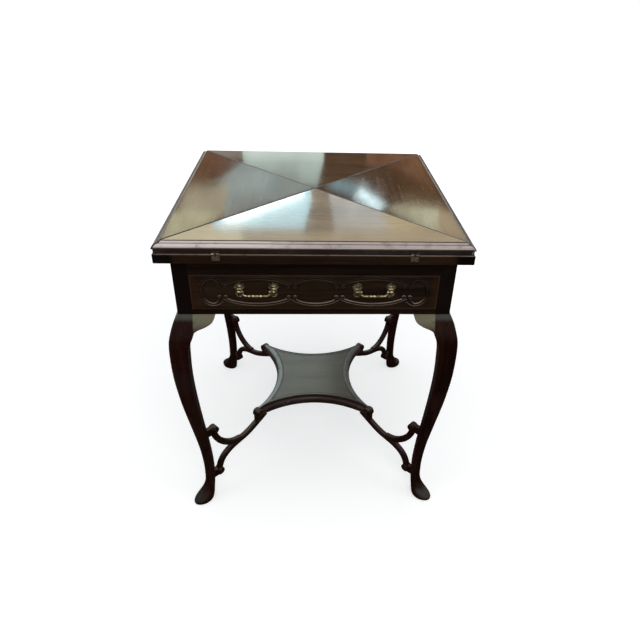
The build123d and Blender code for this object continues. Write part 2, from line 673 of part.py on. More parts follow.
def knob_block(shares, radius):
    """Knob and the block that carries it across to the leg's inner corner."""
    reach, height = knob_place(shares)
    knob = crosswise_disc(reach, height, radius, KNOB_WIDTH)
    leg_reach = reach + DOWEL_LENGTH
    half = LANDING_WIDTH / 2
    return knob + span((reach, leg_reach), (-half, half), (height - radius, height + radius))


def dowel(shares, growth=0.0):
    """Dowel from a knob into the leg."""
    reach, height = knob_place(shares)
    return rod((reach + DOWEL_IN_SCROLL, 0, height), "x", DOWEL_RADIUS + growth, DOWEL_LENGTH)


def make_platform_screw(growth=0.0):
    """Screw up through a stretcher's landing into the platform."""
    return Pos(PLATFORM_SCREW_REACH, 0, PLATFORM_SCREW_LOW) * countersunk(PLATFORM_SCREW_LENGTH, growth)


def make_scroll(leg, platform):
    """Main scroll along +X: volute, landing under the platform, arm and knob."""
    start_reach = SCROLL_POINT_SHARES[0][0] * FOOT_REACH
    start_height = SCROLL_POINT_SHARES[0][1] * PLATFORM_TOP
    throat = VOLUTE_REACH + VOLUTE_RADIUS - MOULD_STEP
    throat_low = SCROLL_POINT_SHARES[1][1] * PLATFORM_TOP + ARM_DEPTH / 2
    landing = Polyline(
        (start_reach, start_height), (start_reach, PLATFORM_BOTTOM),
        (start_reach + LANDING_LENGTH - VOLUTE_RADIUS, VOLUTE_HEIGHT), (throat, VOLUTE_HEIGHT),
        (throat, throat_low), close=True,
    )
    web = extrude(Plane.XZ.offset(-LANDING_WIDTH / 2) * make_face(landing), LANDING_WIDTH)
    scroll = arm(SCROLL_POINT_SHARES, SCROLL_SLOPE) + web + make_volute()
    scroll += knob_block(SCROLL_POINT_SHARES, LOWER_KNOB_RADIUS)
    scroll -= leg
    scroll -= platform
    scroll -= dowel(SCROLL_POINT_SHARES, SEAT_CLEARANCE)
    start = (PLATFORM_SCREW_REACH, 0, PLATFORM_SCREW_LOW - OVERRUN)
    scroll -= rod(start, "z", SCREW_HEAD_RADIUS + SEAT_CLEARANCE, OVERRUN)
    return scroll - make_platform_screw(SEAT_CLEARANCE)


def make_branch(leg, scroll):
    """Upper branch along +X, scarfed onto the main scroll."""
    branch = arm(BRANCH_POINT_SHARES, BRANCH_SLOPE) + knob_block(BRANCH_POINT_SHARES, UPPER_KNOB_RADIUS)
    return branch - leg - scroll - dowel(BRANCH_POINT_SHARES, SEAT_CLEARANCE)


def make_drawer_sides():
    """Right drawer side with tails at its front end and a groove for the bottom."""
    outer = FRONT_HALF_LENGTH
    side = span((SIDE_INNER, outer), (FRONT_REAR, DRAWER_BACK), (FRONT_LOW, SIDE_TOP))
    pitch = (SIDE_TOP - FRONT_LOW) / TAIL_COUNT
    tail_end = FRONT_LAP - HALF_FRAME
    for index in range(TAIL_COUNT):
        centre = FRONT_LOW + (index + 0.5) * pitch
        root = TAIL_SHARE * pitch / 2 - TAIL_FLARE_SHARE * pitch / 2
        tip = TAIL_SHARE * pitch / 2 + TAIL_FLARE_SHARE * pitch / 2
        outline = Polyline(
            (FRONT_REAR, centre - root), (tail_end, centre - tip), (tail_end, centre + tip), (FRONT_REAR, centre + root),
            close=True,
        )
        side += extrude(Plane.YZ.offset(SIDE_INNER) * make_face(outline), SIDE_THICKNESS)
    side -= span((SIDE_INNER, SIDE_INNER + GROOVE_DEPTH), (FRONT_REAR, DRAWER_BACK), (BOTTOM_LOW, BOTTOM_TOP))
    rear = DRAWER_BACK - SIDE_THICKNESS
    side -= span((SIDE_INNER, SIDE_INNER + BACK_GROOVE_DEPTH), (rear, DRAWER_BACK), (BOTTOM_TOP, SIDE_TOP))
    return side


def sunk_field():
    """Lobed field of the drawer front: overlapping ellipses in a row."""
    field = Sketch()
    for centre_share, half_share in FIELD_CELL_SHARES:
        cell = Ellipse(half_share * FRONT_HALF_LENGTH, FIELD_HALF_HEIGHT)
        field += Pos(centre_share * FRONT_HALF_LENGTH, FIELD_HEIGHT) * cell
    return field


def make_drawer_front(sides):
    """Drawer front with its sunk field, sockets, groove and post holes."""
    front = span((-FRONT_HALF_LENGTH, FRONT_HALF_LENGTH), (-HALF_FRAME, FRONT_REAR), (FRONT_LOW, FRONT_HIGH))
    front = chamfer(front.faces().sort_by(Axis.Y)[0].edges(), ARRIS)
    front -= extrude(Plane.XZ.offset(HALF_FRAME) * sunk_field(), -FIELD_DEPTH)
    for side in sides:
        front -= side
    groove = span((-SIDE_INNER, SIDE_INNER), (FRONT_REAR - GROOVE_DEPTH, FRONT_REAR), (BOTTOM_LOW, BOTTOM_TOP))
    front -= groove
    for x in post_places():
        front -= rod((x, -HALF_FRAME, PIVOT_HEIGHT), "y", POST_SHANK_RADIUS + SEAT_CLEARANCE, FRONT_THICKNESS)
    return front


def make_drawer_back():
    """Drawer back, housed in the sides, standing on the bottom."""
    reach = SIDE_INNER + BACK_GROOVE_DEPTH
    return span((-reach, reach), (DRAWER_BACK - SIDE_THICKNESS, DRAWER_BACK), (BOTTOM_TOP, SIDE_TOP - DRAWER_BACK_DROP))


def make_drawer_bottom():
    """Drawer bottom, slid in from behind under the back."""
    middle = span(
        (-SIDE_INNER - GROOVE_DEPTH, SIDE_INNER + GROOVE_DEPTH), (FRONT_REAR, DRAWER_BACK), (BOTTOM_LOW, BOTTOM_TOP),
    )
    lip = span((-SIDE_INNER, SIDE_INNER), (FRONT_REAR - GROOVE_DEPTH, FRONT_REAR), (BOTTOM_LOW, BOTTOM_TOP))
    return middle + lip


def post_places():
    """Positions along the drawer of the four handle posts."""
    half = POST_SPACING / 2
    return [centre + side for centre in (-HANDLE_OFFSET, HANDLE_OFFSET) for side in (-half, half)]


def make_rosette():
    """Cast rosette at the drawer's middle: two lobes with a post hole."""
    upper = Pos(0, PIVOT_HEIGHT + ROSETTE_UPPER_RISE) * Circle(ROSETTE_UPPER_RADIUS)
    lower = Pos(0, PIVOT_HEIGHT - ROSETTE_LOWER_DROP) * Circle(ROSETTE_LOWER_RADIUS)
    hole = Pos(0, PIVOT_HEIGHT) * Circle(POST_SHANK_RADIUS + SEAT_CLEARANCE)
    return extrude(Plane.XZ.offset(-FIELD_FACE) * (upper + lower - hole), ROSETTE_THICKNESS)


def make_post():
    """Handle post: a ball that holds the bail, and a shank through the front."""
    inner_end = FRONT_REAR + POST_NUT_THICKNESS
    ball = Pos(0, PIVOT_FACE, PIVOT_HEIGHT) * Sphere(POST_BALL_RADIUS)
    shank = rod((0, PIVOT_FACE, PIVOT_HEIGHT), "y", POST_SHANK_RADIUS, inner_end - PIVOT_FACE)
    bore_radius = BAIL_PIN_RADIUS + RUNNING_CLEARANCE
    bore = rod((-POST_BALL_RADIUS, PIVOT_FACE, PIVOT_HEIGHT), "x", bore_radius, 2 * POST_BALL_RADIUS)
    return ball + shank - bore


def make_post_nut():
    """Square nut on a post, inside the drawer."""
    half = POST_NUT_SIDE / 2
    faces = (PIVOT_HEIGHT - half, PIVOT_HEIGHT + half)
    nut = span((-half, half), (FRONT_REAR, FRONT_REAR + POST_NUT_THICKNESS), faces)
    hole = rod((0, FRONT_REAR, PIVOT_HEIGHT), "y", POST_SHANK_RADIUS + RUNNING_CLEARANCE, POST_NUT_THICKNESS)
    return nut - hole


def make_bail():
    """Bail at the drawer's middle: pins, eyes, bent arms and a beaded grip."""
    half_posts = POST_SPACING / 2
    eye_end = half_posts - POST_BALL_RADIUS - MOVING_GAP
    eye_start = eye_end - BAIL_EYE_WIDTH
    arm_x = (eye_start + eye_end) / 2
    pin_end = half_posts + BAIL_PIN_INSET
    corners = [
        (-arm_x, 0), (-arm_x, -BAIL_DROP / 2), (-BAIL_GRIP_HALF, -BAIL_DROP),
        (BAIL_GRIP_HALF, -BAIL_DROP), (arm_x, -BAIL_DROP / 2), (arm_x, 0),
    ]
    place = Plane(origin=(0, PIVOT_FACE, PIVOT_HEIGHT), x_dir=(1, 0, 0), z_dir=(0, -1, 0))
    path = place * FilletPolyline(*corners, radius=BAIL_BEND_RADIUS)
    section = Plane(origin=path @ 0, z_dir=path % 0) * Circle(BAIL_RADIUS)
    bail = sweep(section, path=path)
    for start, end in ((-pin_end, -eye_start), (eye_start, pin_end)):
        bail += rod((start, PIVOT_FACE, PIVOT_HEIGHT), "x", BAIL_PIN_RADIUS, end - start)
    for start in (-eye_end, eye_start):
        bail += rod((start, PIVOT_FACE, PIVOT_HEIGHT), "x", BAIL_EYE_RADIUS, BAIL_EYE_WIDTH)
    for index in range(BEAD_COUNT):
        place_x = (index - (BEAD_COUNT - 1) / 2) * BEAD_PITCH
        radius = CENTRE_BEAD_RADIUS if place_x == 0 else BEAD_RADIUS
        bail += Pos(place_x, PIVOT_FACE, PIVOT_HEIGHT - BAIL_DROP) * Rot(0, 90, 0) * Sphere(radius)
    return bail


def frame_parts():
    """Everything that stands still: legs, rails, running gear and undertier."""
    parts = {}
    leg = make_leg()
    back_rail = make_rail(KNEE_HEIGHT, FRAME_TOP, RAIL_THICKNESS)
    side_rail = quarter(270, back_rail)
    top_rail = quarter(180, make_rail(OPENING_HIGH, FRAME_TOP, FRONT_RAIL_WIDTH))
    bottom_rail = quarter(180, make_rail(KNEE_HEIGHT, OPENING_LOW, FRONT_RAIL_WIDTH))
    board = make_pivot_board()
    right_rail = side_rail - board
    left_rail = quarter(180, side_rail) - board
    along = to_corner(-90, leg)
    platform = make_platform()
    scroll = make_scroll(along, to_corner(-90, platform))
    branch = make_branch(along, scroll)
    bracket = make_bracket(leg)
    other_bracket = mirror(bracket, about=Plane(origin=(0, 0, 0), z_dir=(1, -1, 0)))
    dowels = [dowel(shares) for shares in (SCROLL_POINT_SHARES, BRANCH_POINT_SHARES)]
    for corner, angle in CORNERS.items():
        cut = quarter(angle, leg)
        for rail in (back_rail, right_rail, left_rail, top_rail, bottom_rail):
            cut -= rail
        for piece in (dowel(SCROLL_POINT_SHARES, SEAT_CLEARANCE), dowel(BRANCH_POINT_SHARES, SEAT_CLEARANCE)):
            cut -= to_corner(angle, piece)
        parts["leg_" + corner] = cut
        parts["knee_brackets_" + corner] = group([quarter(angle, bracket), quarter(angle, other_bracket)])
        parts["stretcher_scroll_" + corner] = to_corner(angle, scroll)
    parts["stretcher_branches"] = group([to_corner(angle, branch) for angle in CORNERS.values()])
    parts["stretcher_dowels"] = group([to_corner(angle, peg) for angle in CORNERS.values() for peg in dowels])
    parts["platform_screws"] = group([to_corner(angle, make_platform_screw()) for angle in CORNERS.values()])
    parts["undertier_platform"] = platform
    parts["back_rail"] = back_rail
    parts["side_rail_right"] = right_rail
    parts["side_rail_left"] = left_rail
    parts["front_top_rail"] = top_rail
    parts["front_bottom_rail"] = bottom_rail
    parts["drawer_runners"] = group(pair(make_runner() - leg))
    parts["drawer_guides"] = group(pair(make_guide()))
    parts["drawer_kickers"] = group(pair(make_kicker() - leg))
    parts["drawer_stops"] = group(pair(make_drawer_stop()))
    braces = pair(make_brace(RAIL_INNER, leg)) + pair(make_brace(FRONT_RAIL_WIDTH - HALF_FRAME, leg))
    parts["corner_braces"] = group(braces)
    parts["pivot_board"] = board
    parts["pivot_bush"] = make_bush()
    return parts


def top_parts():
    """The swivelling slab with its metalwork."""
    slab_half, flap_half, pin = hinge_pieces()
    slab_halves = [quarter(angle, piece) for angle in SIDES.values() for piece in hinge_places(slab_half)]
    pins = [quarter(angle, piece) for angle in SIDES.values() for piece in hinge_places(pin)]
    return {
        "top_slab": make_slab(),
        "slab_baize": make_slab_baize(),
        "slab_hinge_halves": group(slab_halves),
        "hinge_pins": group(pins),
        "pivot_plate": make_pivot_plate(),
        "pivot_plate_screws": group(make_plate_screws()),
        "pivot_bolt": make_pivot_bolt(),
        "pivot_washer": make_pivot_washer(),
        "pivot_nut": make_pivot_nut(),
        "stop_peg": make_stop_peg(),
    }


def flap_parts():
    """The four folding flaps, each with its baize and hinge halves."""
    parts = {}
    flap = make_flap()
    baize = make_flap_baize()
    slab_half, flap_half, pin = hinge_pieces()
    for side, angle in SIDES.items():
        parts["flap_" + side] = quarter(angle, flap)
        parts["flap_baize_" + side] = quarter(angle, baize)
        parts["flap_hinge_halves_" + side] = group([quarter(angle, piece) for piece in hinge_places(flap_half)])
    return parts


def drawer_parts():
    """The drawer box with its handle fittings, and the two bails."""
    right_side, left_side = pair(make_drawer_sides())
    rosette = make_rosette()
    post = make_post()
    nut = make_post_nut()
    places = post_places()
    bail = make_bail()
    return {
        "drawer_front": make_drawer_front([right_side, left_side]),
        "drawer_side_right": right_side,
        "drawer_side_left": left_side,
        "drawer_back": make_drawer_back(),
        "drawer_bottom": make_drawer_bottom(),
        "handle_rosettes": group([Pos(x, 0, 0) * rosette for x in places]),
        "handle_posts": group([Pos(x, 0, 0) * post for x in places]),
        "handle_nuts": group([Pos(x, 0, 0) * nut for x in places]),
        "bail_left": Pos(-HANDLE_OFFSET, 0, 0) * bail,
        "bail_right": Pos(HANDLE_OFFSET, 0, 0) * bail,
    }


os.makedirs("parts", exist_ok=True)
for maker in (frame_parts, top_parts, flap_parts, drawer_parts):
    for name, shape in maker().items():
        export_step(shape, os.path.join("parts", name + ".step"))
        print(name, len(shape.solids()))
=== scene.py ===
"""An envelope card table, its four leaves closed, dressed for a plain studio view.

The solid parts are loaded as a fixed frame. This file gives each of them its finish,
and adds what a carver, a caster and a polisher would: the rolled outline and curls on
the drawer front, the cast drop handles, the spirals of the scrolls, and the worn polish.
Several finishes also carry painted light in their colour: highlights, sheen, reflections
and shade.
"""
from __future__ import annotations

import logging
import math
from dataclasses import dataclass, replace
from enum import Enum
from functools import cached_property, reduce
from typing import Iterable, Sequence

import bmesh
import bpy
from mathutils import Matrix, Vector


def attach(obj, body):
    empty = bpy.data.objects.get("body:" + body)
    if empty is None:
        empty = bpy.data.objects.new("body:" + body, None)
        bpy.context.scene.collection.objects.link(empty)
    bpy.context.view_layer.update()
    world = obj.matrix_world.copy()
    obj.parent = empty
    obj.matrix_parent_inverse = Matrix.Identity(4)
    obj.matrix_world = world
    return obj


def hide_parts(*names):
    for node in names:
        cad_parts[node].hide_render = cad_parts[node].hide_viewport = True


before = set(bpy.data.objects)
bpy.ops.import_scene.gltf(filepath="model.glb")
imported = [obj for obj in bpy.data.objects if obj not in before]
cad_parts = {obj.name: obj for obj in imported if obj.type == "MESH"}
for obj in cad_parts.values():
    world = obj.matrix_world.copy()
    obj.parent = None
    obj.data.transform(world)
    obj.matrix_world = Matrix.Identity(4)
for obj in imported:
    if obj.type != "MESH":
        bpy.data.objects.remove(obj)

LOG = logging.getLogger("card_table")

Colour = tuple[float, float, float]
Point = tuple[float, float, float]
Span = tuple[float, float]
Socket = bpy.types.NodeSocket
Material = bpy.types.Material
Object = bpy.types.Object

QUARTER = math.pi / 2
ORIGIN: Point = (0.0, 0.0, 0.0)
UNIT: Point = (1.0, 1.0, 1.0)
WHITE: Colour = (1.0, 1.0, 1.0)
TO_FRONT = Matrix.Rotation(-QUARTER, 4, "Z")
CORNERS = ("front_left", "front_right", "back_left", "back_right")


class Axis(Enum):
    """The way that the grain of a board runs, as the turn that lays it along X."""

    X = (0.0, 0.0, 0.0)
    Y = (0.0, 0.0, QUARTER)
    Z = (0.0, QUARTER, 0.0)


class Side(Enum):
    """The four sides of the table, as quarter turns from the front."""

    FRONT = 0
    RIGHT = 1
    BACK = 2
    LEFT = 3


# ---------------------------------------------------------------- node helpers


class Tree:
    """Adds nodes to one node tree and joins them up."""

    def __init__(self, tree: bpy.types.NodeTree) -> None:
        """Keeps the material's, world's or group's tree."""
        self.tree = tree

    def add(self, kind: str, inputs: dict | None = None, **settings: object) -> bpy.types.Node:
        """Adds a node.

        Args:
            kind: the node's type name.
            inputs: what feeds its inputs, by their names or numbers.
            **settings: properties of the node itself.

        Returns:
            The new node.
        """
        node = self.tree.nodes.new(kind)
        for name, value in settings.items():
            setattr(node, name, value)
        for key, value in (inputs or {}).items():
            self.feed(node.inputs[key], value)
        return node

    def feed(self, socket: Socket, value: object) -> None:
        """Links an input to another node's output, or sets its plain value."""
        if isinstance(value, bpy.types.NodeSocket):
            self.tree.links.new(value, socket)
        elif isinstance(value, tuple) and socket.type == "RGBA":
            socket.default_value = (*value, 1.0)
        else:
            socket.default_value = value

    def maths(self, operation: str, *values: object, clamp: bool = False) -> Socket:
        """The result of one Math node, kept from 0 to 1 if clamp is set."""
        inputs = dict(enumerate(values))
        return self.add("ShaderNodeMath", inputs, operation=operation, use_clamp=clamp).outputs[0]

    def times(self, *values: object) -> Socket:
        """The product of several values."""
        return reduce(lambda first, second: self.maths("MULTIPLY", first, second), values)

    def most(self, *values: object) -> Socket:
        """The largest of several values."""
        return reduce(lambda first, second: self.maths("MAXIMUM", first, second), values)

    def least(self, *values: object) -> Socket:
        """The smallest of several values."""
        return reduce(lambda first, second: self.maths("MINIMUM", first, second), values)

    def between(self, share: object, none: float, full: float) -> Socket:
        """A value that is none where the share is 0, and full where it is 1."""
        if (none, full) == (0.0, 1.0):
            return share
        return self.maths("MULTIPLY_ADD", share, full - none, none)

    def fade(self, value: object, start: float, end: float) -> Socket:
        """A smooth step that is 0 at start and 1 at end."""
        rising = start < end
        limits = {"From Min": min(start, end), "From Max": max(start, end)}
        results = {"To Min": float(not rising), "To Max": float(rising)}
        inputs = {"Value": value, **limits, **results}
        kind = "ShaderNodeMapRange"
        return self.add(kind, inputs, interpolation_type="SMOOTHSTEP", clamp=True).outputs["Result"]

    def noise(self, vector: object, scale: float, detail: float = 3.0, roughness: float = 0.5) -> Socket:
        """Noise read at a vector, with its scale, octaves and strength of the fine ones."""
        inputs = {"Vector": vector, "Scale": scale, "Detail": detail, "Roughness": roughness}
        return self.add("ShaderNodeTexNoise", inputs).outputs["Fac"]

    def mapped(
        self, vector: Socket, scale: Point = UNIT, move: Point = ORIGIN, turn: Point = ORIGIN,
    ) -> Socket:
        """A vector scaled, turned and then moved."""
        inputs = {"Vector": vector, "Scale": scale, "Location": move, "Rotation": turn}
        return self.add("ShaderNodeMapping", inputs).outputs["Vector"]

    def blend(self, factor: object, first: object, second: object) -> Socket:
        """The first colour where the factor is 0, and the second where it is 1."""
        inputs = {"Factor": factor, 6: first, 7: second}
        node = self.add("ShaderNodeMix", inputs, data_type="RGBA", blend_type="MIX", clamp_factor=True)
        return node.outputs[2]

    def place(self) -> Socket:
        """The object's own coordinates, in metres."""
        return self.add("ShaderNodeTexCoord").outputs["Object"]

    def split(self, vector: Socket) -> Sequence[Socket]:
        """The three parts of a vector."""
        return self.add("ShaderNodeSeparateXYZ", {0: vector}).outputs

    def group(self, effect: bpy.types.NodeTree, **inputs: object) -> dict[str, Socket]:
        """The outputs of a shared group, fed with its named inputs."""
        return self.add("ShaderNodeGroup", inputs, node_tree=effect).outputs

    def bump(self, height: object, distance: float, strength: float = 0.3, normal: object = None) -> Socket:
        """A normal bent by a height.

        Args:
            height: what stands proud.
            distance: the height in metres that a value of 1 stands for.
            strength: how much it counts.
            normal: the normal below it, if there is one.

        Returns:
            The bent normal.
        """
        node = self.add("ShaderNodeBump", {"Height": height, "Distance": distance, "Strength": strength})
        if normal is not None:
            self.feed(node.inputs["Normal"], normal)
        return node.outputs["Normal"]

    def show(self, shader: bpy.types.Node, output: str = "ShaderNodeOutputMaterial") -> None:
        """Joins the last shader to the tree's output."""
        self.add(output, {"Surface": shader.outputs[0]})


def new_material(name: str) -> tuple[Material, Tree]:
    """An empty material and its tree's helper."""
    material = bpy.data.materials.new(name)
    material.use_nodes = True
    material.node_tree.nodes.clear()
    return material, Tree(material.node_tree)


def make_group(name: str, inputs: dict[str, object], outputs: Sequence[str]) -> tuple[Tree, dict, dict]:
    """An empty shader node group with its sockets.

    Args:
        name: the group's name.
        inputs: its inputs and their defaults: a number, a colour, or None for a vector.
        outputs: its outputs. One named Color is a colour, the others are numbers.

    Returns:
        The tree's helper, what its inputs give, and its outputs' sockets.
    """
    tree = bpy.data.node_groups.new(name, "ShaderNodeTree")
    for label, default in inputs.items():
        kind = {type(None): "Vector", tuple: "Color", float: "Float"}[type(default)]
        socket = tree.interface.new_socket(name=label, in_out="INPUT", socket_type=f"NodeSocket{kind}")
        if default is not None:
            socket.default_value = (*default, 1.0) if kind == "Color" else default
    for label in outputs:
        kind = "Color" if label == "Color" else "Float"
        tree.interface.new_socket(name=label, in_out="OUTPUT", socket_type=f"NodeSocket{kind}")
    helper = Tree(tree)
    return helper, helper.add("NodeGroupInput").outputs, helper.add("NodeGroupOutput").inputs


class SharedEffects:
    """Shader groups that more than one finish uses: grain, wear with painted highlights, and old polish."""

    def __init__(self) -> None:
        """Builds the groups once."""
        self.grain = self._grain()
        self.wear = self._wear()
        self.polish = self._polish()

    @staticmethod
    def _grain() -> bpy.types.NodeTree:
        """Mahogany grain along local X: broad figure, fine lines and short pores."""
        defaults = {"Dark": (0.05, 0.02, 0.01), "Middle": (0.15, 0.06, 0.03), "Light": (0.3, 0.14, 0.06)}
        tree, given, out = make_group(
            "mahogany grain", {"Vector": None, **defaults, "Pores": 0.5}, ("Color", "Height", "Figure"),
        )
        place, dark = given["Vector"], given["Dark"]
        broad = tree.noise(tree.mapped(place, (1.6, 9.0, 9.0)), scale=1.6, roughness=0.55)
        wander = tree.noise(tree.mapped(place, (2.5, 6.0, 6.0), (3.1, 0.7, 1.9)), scale=2.0, detail=2.0)
        sway = {0: wander, 1: (0.0, 0.014, 0.014), 2: place}
        bent = tree.add("ShaderNodeVectorMath", sway, operation="MULTIPLY_ADD").outputs[0]
        lines = tree.noise(tree.mapped(bent, (3.0, 110.0, 110.0)), scale=1.0, detail=4.0, roughness=0.65)
        fine = tree.noise(tree.mapped(bent, (14.0, 620.0, 620.0)), scale=1.0, detail=2.0, roughness=0.6)
        specks = tree.noise(tree.mapped(place, (70.0, 1500.0, 1500.0)), scale=1.0, detail=1.0)
        pore = tree.maths("MULTIPLY", tree.fade(specks, 0.60, 0.70), given["Pores"], clamp=True)
        shade = tree.blend(tree.fade(broad, 0.32, 0.68), dark, given["Middle"])
        shade = tree.blend(tree.times(tree.fade(lines, 0.40, 0.72), 0.6), shade, given["Light"])
        shade = tree.blend(tree.times(tree.fade(fine, 0.45, 0.7), 0.35), shade, dark)
        pore_colour = tree.blend(0.7, dark, (0.01, 0.005, 0.003))
        tree.feed(out["Color"], tree.blend(pore, shade, pore_colour))
        tree.feed(out["Height"], tree.maths("SUBTRACT", tree.times(lines, 0.3), pore))
        tree.feed(out["Figure"], broad)
        return tree.tree

    @staticmethod
    def _wear() -> bpy.types.NodeTree:
        """Breaks an even edge mask into patches: real wear on some pieces, painted highlights and reflection
        on others.
        """
        inputs = {"Vector": None, "Edge": 0.0, "Amount": 0.5}
        tree, given, out = make_group("worn edges and painted highlights", inputs, ("Mask",))
        patches = tree.noise(given["Vector"], scale=34.0, detail=4.0, roughness=0.6)
        broken = tree.times(given["Edge"], tree.fade(patches, 0.12, 0.55))
        tree.feed(out["Mask"], tree.maths("MULTIPLY", broken, given["Amount"], clamp=True))
        return tree.tree

    @staticmethod
    def _polish() -> bpy.types.NodeTree:
        """Old polish: hazy patches, specks of dust and hairline scratches."""
        tree, given, out = make_group("old polish", {"Vector": None}, ("Haze", "Specks", "Scratches"))
        place = given["Vector"]
        cloud = tree.noise(place, scale=9.0, detail=6.0, roughness=0.7)
        cells = tree.add("ShaderNodeTexVoronoi", {"Vector": place, "Scale": 95.0}, feature="F1")
        near = tree.fade(cells.outputs["Distance"], 0.10, 0.04)
        kept = tree.fade(tree.noise(place, scale=48.0, detail=2.0), 0.58, 0.66)
        length = tree.fade(tree.noise(place, scale=31.0), 0.50, 0.62)
        along = tree.noise(tree.mapped(place, (9.0, 460.0, 460.0)), scale=1.0, detail=2.0)
        turned = tree.mapped(place, (12.0, 420.0, 420.0), turn=(0.0, 0.0, 0.45))
        aslant = tree.noise(turned, scale=1.0, detail=2.0)
        hairs = tree.most(tree.fade(along, 0.62, 0.70), tree.fade(aslant, 0.64, 0.72))
        tree.feed(out["Haze"], tree.fade(cloud, 0.42, 0.78))
        tree.feed(out["Specks"], tree.times(near, kept))
        tree.feed(out["Scratches"], tree.times(hairs, length))
        return tree.tree


# ----------------------------------------------------------------------- zones


class Measure(Enum):
    """What a soft step reads at a point of a piece, as the name of one of Spot's values."""

    X = "x"
    Y = "y"
    LEVEL = "level"
    ACROSS = "across"
    REACH = "reach"
    SLANT = "slant"
    MITRE = "mitre"
    BACK_RIGHT = "back_right"
    FACING = "facing"
    ARC = "arc"
    EDGE = "edge"


class Spot:
    """Measures of a point of a piece, as sockets of one material's tree."""

    arc_centre = 0.325
    drawer_half_width = 0.2494
    drawer_levels = (0.5726, 0.6514)

    def __init__(self, tree: Tree, place: Socket) -> None:
        """Splits the object's coordinates."""
        self.tree = tree
        self.x, self.y, self.level = tree.split(place)
        self.across = tree.maths("ABSOLUTE", self.x)
        self.deep = tree.maths("ABSOLUTE", self.y)
        self.reach = tree.most(self.across, self.deep)

    @cached_property
    def slant(self) -> Socket:
        """How much further it is to the side than to the front or back."""
        return self.tree.maths("SUBTRACT", self.across, self.deep)

    @cached_property
    def mitre(self) -> Socket:
        """How far the point is off the mitre, to either side."""
        return self.tree.maths("ABSOLUTE", self.slant)

    @cached_property
    def back_right(self) -> Socket:
        """Above 0 towards the back and towards the right."""
        return self.tree.most(self.x, self.y)

    @cached_property
    def facing(self) -> Socket:
        """How far the surface faces up, from -1 to 1."""
        return self.tree.split(self.tree.add("ShaderNodeNewGeometry").outputs["Normal"])[2]

    @cached_property
    def arc(self) -> Socket:
        """Distance from the centre of the platform's nearest hollow side."""
        smaller = self.tree.least(self.across, self.deep)
        away = self.tree.maths("SUBTRACT", self.arc_centre, self.reach)
        squares = self.tree.maths("ADD", self.tree.times(away, away), self.tree.times(smaller, smaller))
        return self.tree.maths("SQRT", squares)

    @cached_property
    def edge(self) -> Socket:
        """Distance from the nearest edge of the drawer front."""
        low, high = self.drawer_levels
        pairs = ((self.drawer_half_width, self.across), (self.level, low), (high, self.level))
        return self.tree.least(*(self.tree.maths("SUBTRACT", *pair) for pair in pairs))


@dataclass(frozen=True)
class Step:
    """A soft step in a measure, or in its distance from a middle: none at start, full at end."""

    of: Measure
    start: float
    end: float
    none: float = 0.0
    full: float = 1.0
    middle: float = 0.0

    def mask(self, at: Spot) -> Socket:
        """The step at a point."""
        value = getattr(at, self.of.value)
        if self.middle:
            value = at.tree.maths("ABSOLUTE", at.tree.maths("SUBTRACT", value, self.middle))
        return at.tree.between(at.tree.fade(value, self.start, self.end), self.none, self.full)


class Patch:
    """A part of a piece: where all its steps meet, and none of those that it lies under."""

    def __init__(self, *steps: Step, under: Sequence[Patch] = ()) -> None:
        """Keeps the steps, and the patches that it lies under."""
        self.steps = steps
        self.under = under

    def mask(self, at: Spot) -> Socket:
        """The patch at a point."""
        mask = at.tree.times(*(step.mask(at) for step in self.steps))
        if not self.under:
            return mask
        covered = at.tree.least(cover(at, self.under), 1.0)
        return at.tree.times(mask, at.tree.maths("SUBTRACT", 1.0, covered))


def cover(at: Spot | None, patches: Sequence[Patch]) -> object:
    """The strongest of several patches at a point, or 0 without any."""
    return at.tree.most(*(patch.mask(at) for patch in patches)) if patches else 0.0


MITRE_JOINT = Patch(Step(Measure.MITRE, 0.0044, 0.0026), Step(Measure.BACK_RIGHT, -0.01, 0.01, 1.9, 1.15))
# A pale line along the mitre arrises away from the front-left corner: rubbing, and a painted highlight.
MITRE_ARRIS_WEAR_AND_HIGHLIGHT = Patch(
    Step(Measure.MITRE, 0.0016, 0.0003, full=0.5, middle=0.0034), Step(Measure.BACK_RIGHT, -0.01, 0.01),
)
# Dark lines at the rim's step and in its quirk: painted shade in these small recesses.
RIM_STEP_SHADE = Patch(Step(Measure.REACH, 0.0008, 0.0003, middle=0.2952))
RIM_QUIRK_SHADE = Patch(Step(Measure.REACH, 0.0011, 0.0004, full=1.6, middle=0.2902))
# A pale pinkish band on the rim's upper roll, stronger to the left: a painted highlight.
RIM_ROLL_HIGHLIGHT = Patch(
    Step(Measure.REACH, 0.2908, 0.2914), Step(Measure.LEVEL, 0.7204, 0.7226),
    Step(Measure.X, 0.02, -0.22, 0.9, 2.15), Step(Measure.SLANT, -0.0005, 0.0005, 1.0, 0.1),
    under=(MITRE_JOINT, RIM_STEP_SHADE),
)
# The outer moulding of the left and right leaves, darker and duller: painted shade.
SIDE_OVOLO_SHADE = Patch(Step(Measure.SLANT, -0.0005, 0.0005, full=1.4), Step(Measure.REACH, 0.2946, 0.2954))
# The leaf's edge below the moulding, darker and partly near black: the edge's own darker tone, with painted
# shade under the nose.
LEAF_EDGE_TONE_AND_SHADE = Patch(Step(Measure.LEVEL, 0.7222, 0.7202, full=1.3))
# A pale line along the slab's top arris: a painted highlight.
SLAB_RIM_HIGHLIGHT = Patch(Step(Measure.REACH, 0.3022, 0.3044), Step(Measure.LEVEL, 0.7060, 0.7078))
SLAB_ENDS = Patch(Step(Measure.ACROSS, 0.262, 0.276))
DRAWER_ARRIS = Patch(Step(Measure.EDGE, 0.0030, 0.0006), Step(Measure.Y, -0.2790, -0.2797))
DRAWER_ENDS = Patch(Step(Measure.ACROSS, 0.228, 0.252), Step(Measure.Y, -0.2790, -0.2797))
